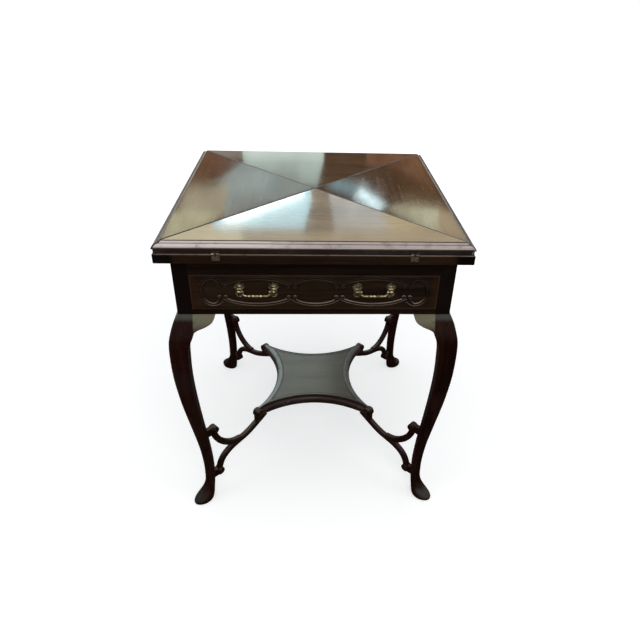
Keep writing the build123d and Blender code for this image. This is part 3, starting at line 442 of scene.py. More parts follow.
# Upward-facing parts of the lower rolls, lighter: a painted highlight.
LOWER_ROLL_HIGHLIGHT = Patch(Step(Measure.FACING, 0.30, 0.85), Step(Measure.LEVEL, 0.618, 0.600))
# Upward-facing parts of the scrolls, lighter: a painted highlight.
SCROLL_TOP_HIGHLIGHT = Patch(Step(Measure.FACING, 0.62, 0.96, full=0.85))
# A grey-green band on the knees' upper slopes: a painted sheen.
KNEE_TOP_SHEEN = Patch(Step(Measure.LEVEL, 0.546, 0.557), Step(Measure.LEVEL, 0.5613, 0.5608))
# The leg blocks above the knees, near black: painted shade under the top.
KNEE_BLOCK_SHADE = Patch(Step(Measure.LEVEL, 0.5609, 0.5614, full=2.0))
# Upward-facing parts of the feet, stronger on the right: a painted sheen.
FOOT_SHEEN = Patch(
    Step(Measure.LEVEL, 0.034, 0.020), Step(Measure.FACING, 0.1, 0.7), Step(Measure.X, -0.1, 0.2, 0.2, 0.8),
)
# The brackets grow lighter towards their tops: painted light.
BRACKET_FACE_SHEEN = Patch(Step(Measure.LEVEL, 0.518, 0.552))
# A pale blue-grey band on the platform's rim, stronger to the left: a painted reflection.
PLATFORM_RIM_REFLECTION = Patch(
    Step(Measure.ARC, 0.2375, 0.2350), Step(Measure.ARC, 0.2250, 0.2285),
    Step(Measure.SLANT, -0.004, 0.004), Step(Measure.X, 0.02, -0.05, 0.4, 1.6),
)
# A green-grey field on the platform, lighter to the left: a painted reflection.
PLATFORM_FIELD_REFLECTION = Patch(
    Step(Measure.ARC, 0.2340, 0.2370), Step(Measure.LEVEL, 0.1828, 0.1836),
    Step(Measure.X, 0.0, 0.095, 1.0, 0.32),
)


# -------------------------------------------------------------------- finishes


@dataclass(frozen=True)
class PolishedWood:
    """French-polished mahogany with a worn surface.

    The worn-and-lit patches take the wear-and-highlight colour: real rubbing on the drawer's arris,
    rubbing with a painted highlight on the mitre arrises, painted highlights on the leaf and slab
    rims, and a painted reflection on the platform's rim. The toned-and-lit ones have the second
    colour: painted sheen and highlights on the knees, feet, brackets, scrolls and lower rolls, a
    painted reflection on the platform's field, a darker tone on the leaf edges, and another tone at
    the ends of the slab and drawer. What their masks have above 1 turns the wood black and dull:
    dark mitre joints, and painted shade in the rim's grooves, on the leaf edges, the side mouldings
    and the leg blocks.
    """

    name: str
    dark: Colour
    middle: Colour
    light: Colour
    wear_and_highlight_colour: Colour
    second: Colour = (0.03, 0.013, 0.008)
    second_figure: float = 0.45
    grain: Axis = Axis.X
    roughness: float = 0.34
    haze_roughness: float = 0.12
    joint_and_shade_roughness: float = 0.7
    specular: float = 0.3
    haze: Colour = (0.30, 0.27, 0.22)
    haze_amount: float = 0.1
    specks: float = 0.0
    speck_colour: Colour = (0.62, 0.60, 0.54)
    scratches: float = 0.0
    scratch_colour: Colour = (0.5, 0.45, 0.38)
    joint_and_shade_colour: Colour = (0.004, 0.0016, 0.0009)
    wear: float = 0.5
    relief: float = 0.00010
    tilt: Side | None = None
    slope: float = 0.042
    handled: tuple[Patch, ...] = ()
    parted: tuple[Patch, ...] = ()
    shift: float = 0.0
    shift_shares: Point = (1.0, 0.7, 1.3)

    def _sloped(self, tree: Tree, place: Socket) -> Socket | None:
        """A leaf's normal, which slopes as its lifted tip does, or None for a level piece."""
        if self.tilt is None:
            return None
        along = tree.split(place)[0 if self.tilt in (Side.RIGHT, Side.LEFT) else 1]
        rise = self.slope if self.tilt in (Side.FRONT, Side.LEFT) else -self.slope
        return tree.bump(tree.times(along, rise), distance=1.0, strength=1.0)

    def make(self, effects: SharedEffects) -> Material:
        """Builds the material with the shared shader groups."""
        material, tree = new_material(self.name)
        place = tree.place()
        move = tuple(self.shift * share for share in self.shift_shares)
        along = tree.mapped(place, move=move, turn=self.grain.value)
        colours = {"Dark": self.dark, "Middle": self.middle, "Light": self.light}
        grain = tree.group(effects.grain, Vector=along, **colours)
        polish = tree.group(effects.polish, Vector=along)
        at = Spot(tree, place) if self.handled or self.parted else None
        edge, part = cover(at, self.handled), cover(at, self.parted)
        wear = tree.group(effects.wear, Vector=place, Edge=edge, Amount=self.wear)
        # The second colour is painted highlight, sheen, reflection and shade on several pieces, another tone
        # on others.
        deeper = tuple(value * self.second_figure for value in self.second)
        second = tree.blend(tree.fade(grain["Figure"], 0.35, 0.65), self.second, deeper)
        # Mask values above 1 give the near-black, dull colour: dark joints, and painted shade in grooves, on
        # edges and under the top.
        joint_and_shade = tree.maths("SUBTRACT", part, 1.0, clamp=True)
        scratches = tree.times(polish["Scratches"], self.scratches)
        shade = grain["Color"]
        for mask, colour in (
            (part, second),
            (joint_and_shade, self.joint_and_shade_colour),
            (tree.times(polish["Haze"], self.haze_amount), self.haze),
            (tree.times(polish["Specks"], self.specks), self.speck_colour),
            (scratches, self.scratch_colour),
            # edge mask: real wear on the drawer's arris, painted highlights and reflection on the rims and
            # mitre arrises
            (wear["Mask"], self.wear_and_highlight_colour),
        ):
            shade = tree.blend(mask, shade, colour)
        rough = tree.maths("MULTIPLY_ADD", polish["Haze"], self.haze_roughness, self.roughness)
        relief = tree.maths("SUBTRACT", grain["Height"], scratches)
        tree.show(tree.add("ShaderNodeBsdfPrincipled", {
            "Base Color": shade,
            "Roughness": tree.maths("MULTIPLY_ADD", joint_and_shade, self.joint_and_shade_roughness, rough),
            "Specular IOR Level": self.specular,
            "Normal": tree.bump(relief, self.relief, normal=self._sloped(tree, place)),
        }))
        return material


@dataclass(frozen=True)
class AgedMetal:
    """Brass or steel with tarnish in its hollows and rubbed high spots."""

    name: str
    bright: Colour
    tarnish: Colour
    roughness: float
    spread: float
    stain_roughness: float = 0.35
    relief: float = 0.0002

    def make(self) -> Material:
        """Builds the material."""
        material, tree = new_material(self.name)
        place = tree.place()
        patch = tree.fade(tree.noise(place, scale=190.0, detail=4.0, roughness=0.65), 0.40, 0.66)
        fine = tree.noise(place, scale=900.0, roughness=0.6)
        stain = tree.times(patch, self.spread)
        tree.show(tree.add("ShaderNodeBsdfPrincipled", {
            "Base Color": tree.blend(stain, self.bright, self.tarnish),
            "Metallic": 1.0,
            "Roughness": tree.maths("MULTIPLY_ADD", stain, self.stain_roughness, self.roughness),
            "Normal": tree.bump(tree.maths("ADD", fine, patch), self.relief),
        }))
        return material


@dataclass(frozen=True)
class Baize:
    """Green woollen baize with a felted twill."""

    name: str = "green baize"
    colour: Colour = (0.035, 0.13, 0.06)
    faded: Colour = (0.075, 0.19, 0.09)
    hollow: Colour = (0.02, 0.06, 0.03)
    relief: float = 0.0003

    def make(self) -> Material:
        """Builds the material."""
        material, tree = new_material(self.name)
        place = tree.place()
        ribs = {"Vector": place, "Scale": 330.0, "Distortion": 3.5}
        twill = tree.add("ShaderNodeTexWave", ribs, wave_type="BANDS", bands_direction="DIAGONAL")
        fluff = tree.noise(place, scale=1500.0, roughness=0.7)
        worn = tree.fade(tree.noise(place, scale=5.0, detail=4.0, roughness=0.6), 0.35, 0.75)
        weave = tree.times(tree.maths("ADD", twill.outputs["Fac"], fluff), 0.5)
        base = tree.blend(worn, self.colour, self.faded)
        tree.show(tree.add("ShaderNodeBsdfPrincipled", {
            "Base Color": tree.blend(tree.times(weave, 0.4), base, self.hollow),
            "Roughness": 0.95,
            "Sheen Weight": 0.25,
            "Normal": tree.bump(weave, self.relief, strength=0.5),
        }))
        return material


# ------------------------------------------------------------- modelling hands


class Bench:
    """What every piece is made with: operators on one selected object."""

    @staticmethod
    def clear() -> None:
        """Leaves edit mode and deselects everything."""
        if bpy.context.object and bpy.context.object.mode != "OBJECT":
            bpy.ops.object.mode_set(mode="OBJECT")
        bpy.ops.object.select_all(action="DESELECT")

    @staticmethod
    def only(piece: Object) -> None:
        """Selects one object and makes it active."""
        Bench.clear()
        piece.hide_set(False)
        piece.select_set(True)
        bpy.context.view_layer.objects.active = piece

    @staticmethod
    def edit_all() -> None:
        """Opens the active mesh with all of it selected."""
        bpy.ops.object.mode_set(mode="EDIT")
        bpy.ops.mesh.select_all(action="SELECT")

    @staticmethod
    def settle(piece: Object) -> None:
        """Puts the object's place, turn and scale into its mesh."""
        Bench.only(piece)
        bpy.ops.object.transform_apply(location=True, rotation=True, scale=True)

    @staticmethod
    def tidy(piece: Object, angle: float) -> None:
        """Merges doubles, turns faces outwards and smooths below an angle in degrees."""
        Bench.only(piece)
        Bench.edit_all()
        bpy.ops.mesh.remove_doubles(threshold=0.00002)
        bpy.ops.mesh.normals_make_consistent(inside=False)
        bpy.ops.object.mode_set(mode="OBJECT")
        bpy.ops.object.shade_smooth_by_angle(angle=math.radians(angle))

    @staticmethod
    def even_normals(piece: Object) -> None:
        """Weighs the corner normals by face size, so that flat faces stay flat."""
        Bench.only(piece)
        bpy.ops.object.modifier_add(type="WEIGHTED_NORMAL")
        modifier = piece.modifiers[-1]
        modifier.keep_sharp = True
        modifier.weight = 100
        bpy.ops.object.modifier_apply(modifier=modifier.name)

    @staticmethod
    def merge(pieces: Iterable[Object], name: str) -> Object:
        """Joins several objects into the first of them, and names it."""
        group = list(pieces)
        Bench.clear()
        for piece in group:
            piece.select_set(True)
        bpy.context.view_layer.objects.active = group[0]
        bpy.ops.object.join()
        group[0].name = group[0].data.name = name
        return group[0]

    @staticmethod
    def copy(piece: Object, name: str, move: Matrix) -> Object:
        """A copy with its own mesh, moved in the mesh.

        Args:
            piece: what is copied.
            name: the copy's name.
            move: how the copy's points move.

        Returns:
            The copy.
        """
        twin = piece.copy()
        twin.data = piece.data.copy()
        twin.name = twin.data.name = name
        twin.data.transform(move)
        if move.determinant() < 0:
            twin.data.flip_normals()
        bpy.context.scene.collection.objects.link(twin)
        return twin

    @staticmethod
    def roll(
        points: Sequence[Point], radius: float, name: str, taper: Sequence[float] = (),
    ) -> Object:
        """A round moulding along a smooth line, as a mesh.

        Args:
            points: the places that the line goes through.
            radius: the moulding's radius.
            name: the object's name.
            taper: the radius at each point, as shares of the radius.

        Returns:
            The moulding.
        """
        Bench.clear()
        bpy.ops.curve.primitive_bezier_curve_add(location=ORIGIN)
        curve = bpy.context.object
        curve.name = name
        spline = curve.data.splines[0]
        spline.bezier_points.add(len(points) - 2)
        for index, (knot, place) in enumerate(zip(spline.bezier_points, points)):
            knot.co = place
            knot.handle_left_type = knot.handle_right_type = "AUTO"
            knot.radius = taper[index] if taper else 1.0
        curve.data.dimensions = "3D"
        curve.data.resolution_u = 5
        curve.data.bevel_depth = radius
        curve.data.bevel_resolution = 3
        curve.data.use_fill_caps = True
        bpy.ops.object.convert(target="MESH")
        piece = bpy.context.object
        Bench.tidy(piece, 60.0)
        return piece

    @staticmethod
    def turned(profile: Sequence[Span], name: str, steps: int, move: Matrix) -> Object:
        """A turned piece: a profile spun about the X axis, and then moved.

        Args:
            profile: pairs of distance along X and radius, from end to end.
            name: the object's name.
            steps: the flats round the piece.
            move: how its points move.

        Returns:
            The turned piece.
        """
        Bench.clear()
        bpy.ops.mesh.primitive_plane_add(size=0.001, location=ORIGIN)
        piece = bpy.context.object
        piece.name = name
        shape = bmesh.new()
        line = [shape.verts.new((along, radius, 0.0)) for along, radius in profile]
        for first, second in zip(line, line[1:]):
            shape.edges.new((first, second))
        shape.to_mesh(piece.data)
        shape.free()
        Bench.edit_all()
        bpy.ops.mesh.spin(steps=steps, angle=2 * math.pi, center=ORIGIN, axis=(1.0, 0.0, 0.0))
        bpy.ops.object.mode_set(mode="OBJECT")
        Bench.tidy(piece, 45.0)
        piece.data.transform(move)
        return piece

    @staticmethod
    def petal(width: float, length: float, depth: float) -> Object:
        """A cast petal that lies flat: narrow at its root, domed, with a sunk middle.

        Args:
            width: across the petal.
            length: from root to tip, along +Z.
            depth: how far it stands forward, along -Y.

        Returns:
            The petal, its root at the origin.
        """
        Bench.clear()
        bpy.ops.mesh.primitive_circle_add(
            vertices=14, radius=0.5, fill_type="NGON", location=ORIGIN, rotation=(QUARTER, 0.0, 0.0),
        )
        piece = bpy.context.object
        piece.name = "petal"
        Bench.settle(piece)
        for vertex in piece.data.vertices:
            share = vertex.co.z + 0.5
            vertex.co.x *= width * (0.45 + 0.55 * math.sin(math.pi * min(1.0, share) ** 0.8) ** 0.5)
            vertex.co.z = share * length
        Bench.edit_all()
        bpy.ops.mesh.extrude_region_move(TRANSFORM_OT_translate={"value": (0.0, -depth * 0.55, 0.0)})
        bpy.ops.mesh.inset(thickness=width * 0.12, depth=depth * 0.45)
        bpy.ops.mesh.inset(thickness=width * 0.16, depth=-depth * 0.25)
        bpy.ops.object.mode_set(mode="OBJECT")
        Bench.tidy(piece, 50.0)
        return piece


def finish_piece(piece: Object, material: Material, body: str, slot: str, *nodes: str) -> None:
    """Gives a piece its finish and its place in the frame.

    Args:
        piece: the finished mesh object.
        material: its material.
        body: the body that it moves with.
        slot: the record's material slot; not used.
        *nodes: the solid nodes that it stands for.
    """
    piece.data.materials.clear()
    piece.data.materials.append(material)
    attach(piece, body)
    if nodes:
        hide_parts(*nodes)
    LOG.info("%s rides on %s, %d faces", piece.name, body, len(piece.data.polygons))


# ------------------------------------------------------------------ the pieces


@dataclass
class CarvedFront:
    """Rolled outline and curls round the drawer's sunk field."""

    face: float = -0.2800
    height: float = 0.6140
    half_height: float = 0.0275
    cells: tuple[Span, ...] = (
        (-0.205, 0.0217), (-0.117, 0.0746), (0.0, 0.0536), (0.117, 0.0746), (0.205, 0.0217),
    )
    necks: tuple[float, ...] = (-0.186, -0.048, 0.048, 0.186)
    neck_half: float = 0.0060
    spacing: float = 0.005
    fewest: int = 9
    inner: Span = (0.0004, 0.0024)
    outer: Span = (0.0053, 0.0013)
    curl: float = 0.0033
    curl_height: float = 0.0125
    curl_clearance: Span = (0.005, 0.004)
    curl_profile: tuple[Span, ...] = (
        (0.0, 0.0), (0.0, 1.0), (0.0008, 1.02), (0.0016, 0.86), (0.0018, 0.66), (0.0014, 0.55), (0.0017, 0.4),
        (0.0024, 0.22), (0.0026, 0.0),
    )
    curl_depth: float = 0.0004
    hook_share: float = 0.8
    hook_angles: tuple[float, ...] = (240.0, 185.0, 130.0, 75.0, 20.0)
    hook_depth: float = 0.0002

    def _arc(self, cell: int, upper: bool, grow: float, hook: bool) -> list[Point]:
        """One arc of a cell, from its left neck to its right neck.

        Args:
            cell: which cell, from the left.
            upper: whether it is the upper arc.
            grow: how far outside the field's edge it runs.
            hook: whether its ends turn in towards the curls.

        Returns:
            The arc's points.
        """
        centre, half = self.cells[cell]
        wide, tall = half + grow, self.half_height + grow
        inset = self.neck_half if hook else 0.0
        left = self.necks[cell - 1] + inset if cell > 0 else None
        right = self.necks[cell] - inset if cell < len(self.necks) else None

        def angle(neck: float | None, free: float) -> float:
            """Where the arc meets a neck, or the free end's angle."""
            return free if neck is None else math.acos(max(-1.0, min(1.0, (neck - centre) / wide)))

        start, end = angle(left, math.pi), angle(right, 0.0)
        count = max(self.fewest, int(wide / self.spacing))
        sign = 1.0 if upper else -1.0
        turns = [start + (end - start) * index / count for index in range(count + 1)]
        tall *= sign
        points = [
            (centre + wide * math.cos(turn), self.face, self.height + tall * math.sin(turn))
            for turn in turns
        ]
        if hook and left is not None:
            points = self._hooked(points, left, sign, -1.0)
        if hook and right is not None:
            points = self._hooked(points[::-1], right, sign, 1.0)[::-1]
        return points

    def _hooked(self, points: list[Point], neck: float, sign: float, way: float) -> list[Point]:
        """Turns the start of an arc in towards its curl.

        Args:
            points: the arc, starting at the neck.
            neck: the curl's place along the drawer.
            sign: 1 on the upper arcs.
            way: which side of the curl the line comes in on.

        Returns:
            The arc with its hook.
        """
        level = self.height + sign * self.curl_height
        across, along = self.curl_clearance
        far = [point for point in points if abs(point[0] - neck) > across or abs(point[2] - level) < along]
        radius = self.curl * self.hook_share
        hook = []
        for degrees in self.hook_angles:
            turn = math.radians(degrees)
            place = (neck - way * radius * math.sin(turn), level + sign * radius * math.cos(turn))
            hook.append((place[0], self.face - self.hook_depth, place[1]))
        return hook + far

    def _outline(self, grow: float, radius: float, hook: bool) -> list[Object]:
        """All the rolls at one distance from the field's edge.

        Args:
            grow: how far outside the edge they run.
            radius: the roll's radius.
            hook: whether they end in curls.

        Returns:
            The rolls.
        """
        last = len(self.cells) - 1
        paths = [self._arc(cell, upper, grow, hook) for cell in range(1, last) for upper in (True, False)]
        paths.append(self._arc(0, True, grow, hook)[::-1] + self._arc(0, False, grow, hook)[1:])
        paths.append(self._arc(last, True, grow, hook) + self._arc(last, False, grow, hook)[::-1][1:])
        return [Bench.roll(path, radius, "drawer_roll") for path in paths]

    def _curls(self) -> list[Object]:
        """The round curls in pairs at the necks."""
        profile = [(depth, share * self.curl) for depth, share in self.curl_profile]
        button = Bench.turned(profile, "drawer_curl", 20, TO_FRONT)
        curls = []
        for neck in self.necks:
            for side in (-self.neck_half, self.neck_half):
                for level in (-self.curl_height, self.curl_height):
                    place = (neck + side, self.face + self.curl_depth, self.height + level)
                    curls.append(Bench.copy(button, "drawer_curl_copy", Matrix.Translation(place)))
        bpy.data.objects.remove(button)
        return curls

    def build(self, material: Material) -> None:
        """Makes the carving and sets it on the drawer."""
        rolls = self._outline(*self.inner, hook=True) + self._outline(*self.outer, hook=False)
        carving = Bench.merge(rolls + self._curls(), "drawer_carving")
        finish_piece(carving, material, "drawer", "mahogany_drawer")


@dataclass
class DropHandles:
    """Cast rosettes, posts and beaded bails."""

    centres: Span = (-0.118, 0.118)
    half_spacing: float = 0.034
    pivot: Span = (-0.288, 0.6185)
    seat: float = -0.2780
    flowers: tuple[tuple[float, float, int, float], ...] = (
        (0.0065, 0.0112, 8, 0.0034), (-0.0085, 0.0092, 7, 0.0028),
    )
    petal_shares: Point = (0.80, 0.82, 0.85)
    petal_root: float = 0.18
    boss_shares: tuple[Span, ...] = (
        (0.0, 0.0), (0.0, 0.62), (0.55, 0.58), (0.8, 0.40), (0.6, 0.34), (1.0, 0.24), (1.15, 0.0),
    )
    tube: float = 0.0023
    tube_taper: tuple[float, ...] = (1.2, 1.05, 1.0, 1.05, 1.15)
    drop: float = 0.0100
    arm: float = 0.0270
    grip_half: float = 0.0195
    grip_end: float = 0.0010
    grip_steps: int = 100
    bead_length: float = 0.0078
    bead_radii: Point = (0.0017, 0.0007, 0.0012)
    eye_profile: tuple[Span, ...] = (
        (-0.0021, 0.0), (-0.0021, 0.0026), (-0.0013, 0.0033), (0.0013, 0.0033), (0.0021, 0.0026),
        (0.0021, 0.0),
    )
    pin_profile: tuple[Span, ...] = (
        (0.0, 0.0), (0.0, 0.00145), (0.0085, 0.00145), (0.0090, 0.0010), (0.0090, 0.0),
    )

    def _rosette(self) -> Object:
        """One rosette about the post's place, its back on the plane of y 0."""
        parts = []
        for centre, radius, count, depth in self.flowers:
            wide, long, deep = self.petal_shares
            petal = Bench.petal(radius * wide, radius * long, depth * deep)
            middle = Matrix.Translation((0.0, 0.0, centre))
            out = Matrix.Translation((0.0, 0.0, radius * self.petal_root))
            for index in range(count):
                turn = Matrix.Rotation(2 * math.pi * index / count, 4, "Y")
                parts.append(Bench.copy(petal, "petal_copy", middle @ turn @ out))
            bpy.data.objects.remove(petal)
            profile = [(depth * along, radius * share) for along, share in self.boss_shares]
            parts.append(Bench.turned(profile, "rosette_boss", 24, middle @ TO_FRONT))
        return Bench.merge(parts, "rosette")

    def _collar(self) -> Object:
        """The turned collar and neck below a post's ball, along -Y from the origin."""
        reach = self.seat - self.pivot[0]
        foot = [(0.0, 0.0025), (0.0, 0.0050), (0.0024, 0.0050), (0.0032, 0.0044), (0.0040, 0.0030)]
        bead = ((0.0032, 0.0028), (0.0026, 0.0034), (0.0020, 0.0026))
        neck = [*((reach - below, radius) for below, radius in bead), (0.0024, 0.0022)]
        return Bench.turned(foot + neck, "post_collar", 24, TO_FRONT)

    def _grip(self) -> Object:
        """The bail's beaded grip, thickest in the middle."""
        end = self.grip_half + self.grip_end
        thin, swell, bead = self.bead_radii
        profile = [(-end, 0.0)]
        for index in range(self.grip_steps + 1):
            along = -self.grip_half + 2 * self.grip_half * index / self.grip_steps
            phase = abs(math.cos(math.pi * along / self.bead_length))
            bulge = swell * (1.0 - (along / self.grip_half) ** 2)
            profile.append((along, thin + bulge + bead * phase ** 0.6))
        profile.append((end, 0.0))
        return Bench.turned(profile, "bail_grip", 20, Matrix.Translation((0.0, 0.0, -self.drop)))

    def _bail(self) -> Object:
        """The bail about its pivot's middle: eyes, scrolled arms and beaded grip."""
        parts = [self._grip()]
        bends = ((0.0, 0.0), (0.0008, -0.0030), (-0.0006, -0.0064), (-0.0038, -0.0090), (-0.0080, -self.drop))
        for sign in (-1.0, 1.0):
            path = [(sign * (self.arm + out), 0.0, level) for out, level in bends]
            parts.append(Bench.roll(path, self.tube, "bail_arm", taper=self.tube_taper))
            out = Matrix.Translation((sign * self.arm, 0.0, 0.0))
            parts.append(Bench.turned(self.eye_profile, "bail_eye", 24, out))
            facing = Matrix.Rotation(0.0 if sign > 0 else math.pi, 4, "Z")
            parts.append(Bench.turned(self.pin_profile, "bail_pin", 20, out @ facing))
        return Bench.merge(parts, "bail")

    def build(self, material: Material, darker: Material) -> None:
        """Makes both handles.

        Args:
            material: the brass of the bails and posts, brighter: handled wear and a painted highlight.
            darker: a darker copy of the brass, for the rosettes: painted shade.
        """
        depth, level = self.pivot
        rosette, collar, bail = self._rosette(), self._collar(), self._bail()
        rosettes, collars = [], []
        for centre in self.centres:
            for side in (-1.0, 1.0):
                place = Matrix.Translation((centre + side * self.half_spacing, self.seat, level))
                mirrored = Matrix.Scale(side, 4, (1.0, 0.0, 0.0))
                rosettes.append(Bench.copy(rosette, "rosette_copy", place @ mirrored))
                collars.append(Bench.copy(collar, "collar_copy", place))
        for side, centre in zip(("left", "right"), self.centres):
            piece = Bench.copy(bail, f"beaded_bail_{side}", Matrix.Translation((centre, depth, level)))
            finish_piece(piece, material, f"handle_{side}", "brass", f"bail_{side}")
        finish_piece(Bench.merge(rosettes, "cast_rosettes"), darker, "drawer", "brass", "handle_rosettes")
        finish_piece(Bench.merge(collars, "post_collars"), material, "drawer", "brass")
        for spare in (rosette, collar, bail):
            bpy.data.objects.remove(spare)


@dataclass(frozen=True)
class Coil:
    """One spiral of a stretcher: its place, size, start in degrees and bead."""

    reach: float
    level: float
    radius: float
    start: float
    bead: float


@dataclass
class ScrollCarving:
    """Spirals and eyes on the stretchers' volutes and knobs."""

    coils: tuple[Coil, ...] = (
        Coil(0.206, 0.170, 0.012, 40.0, 0.0019),
        Coil(0.3469, 0.2079, 0.0105, -30.0, 0.0015),
        Coil(0.3441, 0.0640, 0.0105, 30.0, 0.0015),
    )
    face: float = 0.0085
    turns: float = 1.6
    steps_each_turn: int = 14
    end_share: float = 0.35
    eye_profile: tuple[Span, ...] = (
        (-0.0015, 0.0), (-0.0015, 0.0028), (0.0008, 0.0026), (0.0018, 0.0015), (0.0021, 0.0),
    )

    def _spiral(self, coil: Coil) -> Object:
        """A spiral bead in the plane of X and Z, about the origin."""
        count = int(self.turns * self.steps_each_turn)
        points, taper = [], []
        for index in range(count + 1):
            share = index / count
            angle = math.radians(coil.start) + 2 * math.pi * self.turns * share
            reach = (coil.radius - coil.bead) * (1.0 - share) ** 0.8 + coil.bead * 1.2 * share
            points.append((reach * math.cos(angle), 0.0, reach * math.sin(angle)))
            taper.append(1.0 - self.end_share * share)
        return Bench.roll(points, coil.bead, "spiral", taper=taper)

    def build(self, material: Material) -> None:
        """Carves every stretcher alike."""
        parts = []
        for side in (-1.0, 1.0):
            for coil in self.coils:
                place = Matrix.Translation((coil.reach, side * self.face, coil.level))
                spiral = self._spiral(coil)
                spiral.data.transform(place)
                outward = place @ Matrix.Rotation(side * QUARTER, 4, "Z")
                parts += [spiral, Bench.turned(self.eye_profile, "scroll_eye", 18, outward)]
        master = Bench.merge(parts, "scroll_spirals")
        for index, corner in enumerate(("back_right", "back_left", "front_left", "front_right")):
            turn = Matrix.Rotation(math.radians(45.0 + 90.0 * index), 4, "Z")
            piece = Bench.copy(master, f"scroll_spirals_{corner}", turn)
            finish_piece(piece, material, "frame", "mahogany_frame")
        bpy.data.objects.remove(master)


@dataclass
class SmoothedNodes:
    """Curved solids of the frame, shown with merged points and smooth shading."""

    angle: float = 32.0

    def build(self, names: Sequence[str], material: Material) -> None:
        """Shows smooth copies of the nodes in place of their loose triangles."""
        for name in names:
            piece = Bench.copy(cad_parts[name], f"{name}_polished", Matrix.Identity(4))
            piece.parent = None
            for key in list(piece.keys()):
                del piece[key]
            Bench.tidy(piece, self.angle)
            Bench.even_normals(piece)
            finish_piece(piece, material, "frame", "mahogany_frame", name)


# ------------------------------------------------------------------ the studio


def upright(depth: float, *places: Span) -> tuple[Point, ...]:
    """Corners of a card that stands across the room, that far behind the table."""
    return tuple((across, depth, level) for across, level in places)


@dataclass(frozen=True)
class Card:
    """A flat card or dark flag in the room, which shows only in polish."""

    name: str
    strength: float
    colour: Colour
    mottle: float
    corners: tuple[Point, ...]
    grain: float = 3.0

    def build(self) -> None:
        """Sets the card up."""
        Bench.clear()
        bpy.ops.mesh.primitive_circle_add(
            vertices=len(self.corners), radius=1.0, fill_type="NGON", location=ORIGIN,
        )
        card = bpy.context.object
        card.name = self.name
        for vertex, corner in zip(card.data.vertices, self.corners):
            vertex.co = corner
        material, tree = new_material(self.name)
        patches = tree.fade(tree.noise(tree.place(), self.grain, detail=4.0, roughness=0.6), 0.36, 0.64)
        dim = tuple(value * (1.0 - self.mottle) for value in self.colour)
        glow = {"Color": tree.blend(patches, dim, self.colour), "Strength": self.strength}
        tree.show(tree.add("ShaderNodeEmission", glow))
        card.data.materials.append(material)
        for sight in ("camera", "diffuse", "transmission", "volume_scatter", "shadow"):
            setattr(card, f"visible_{sight}", False)


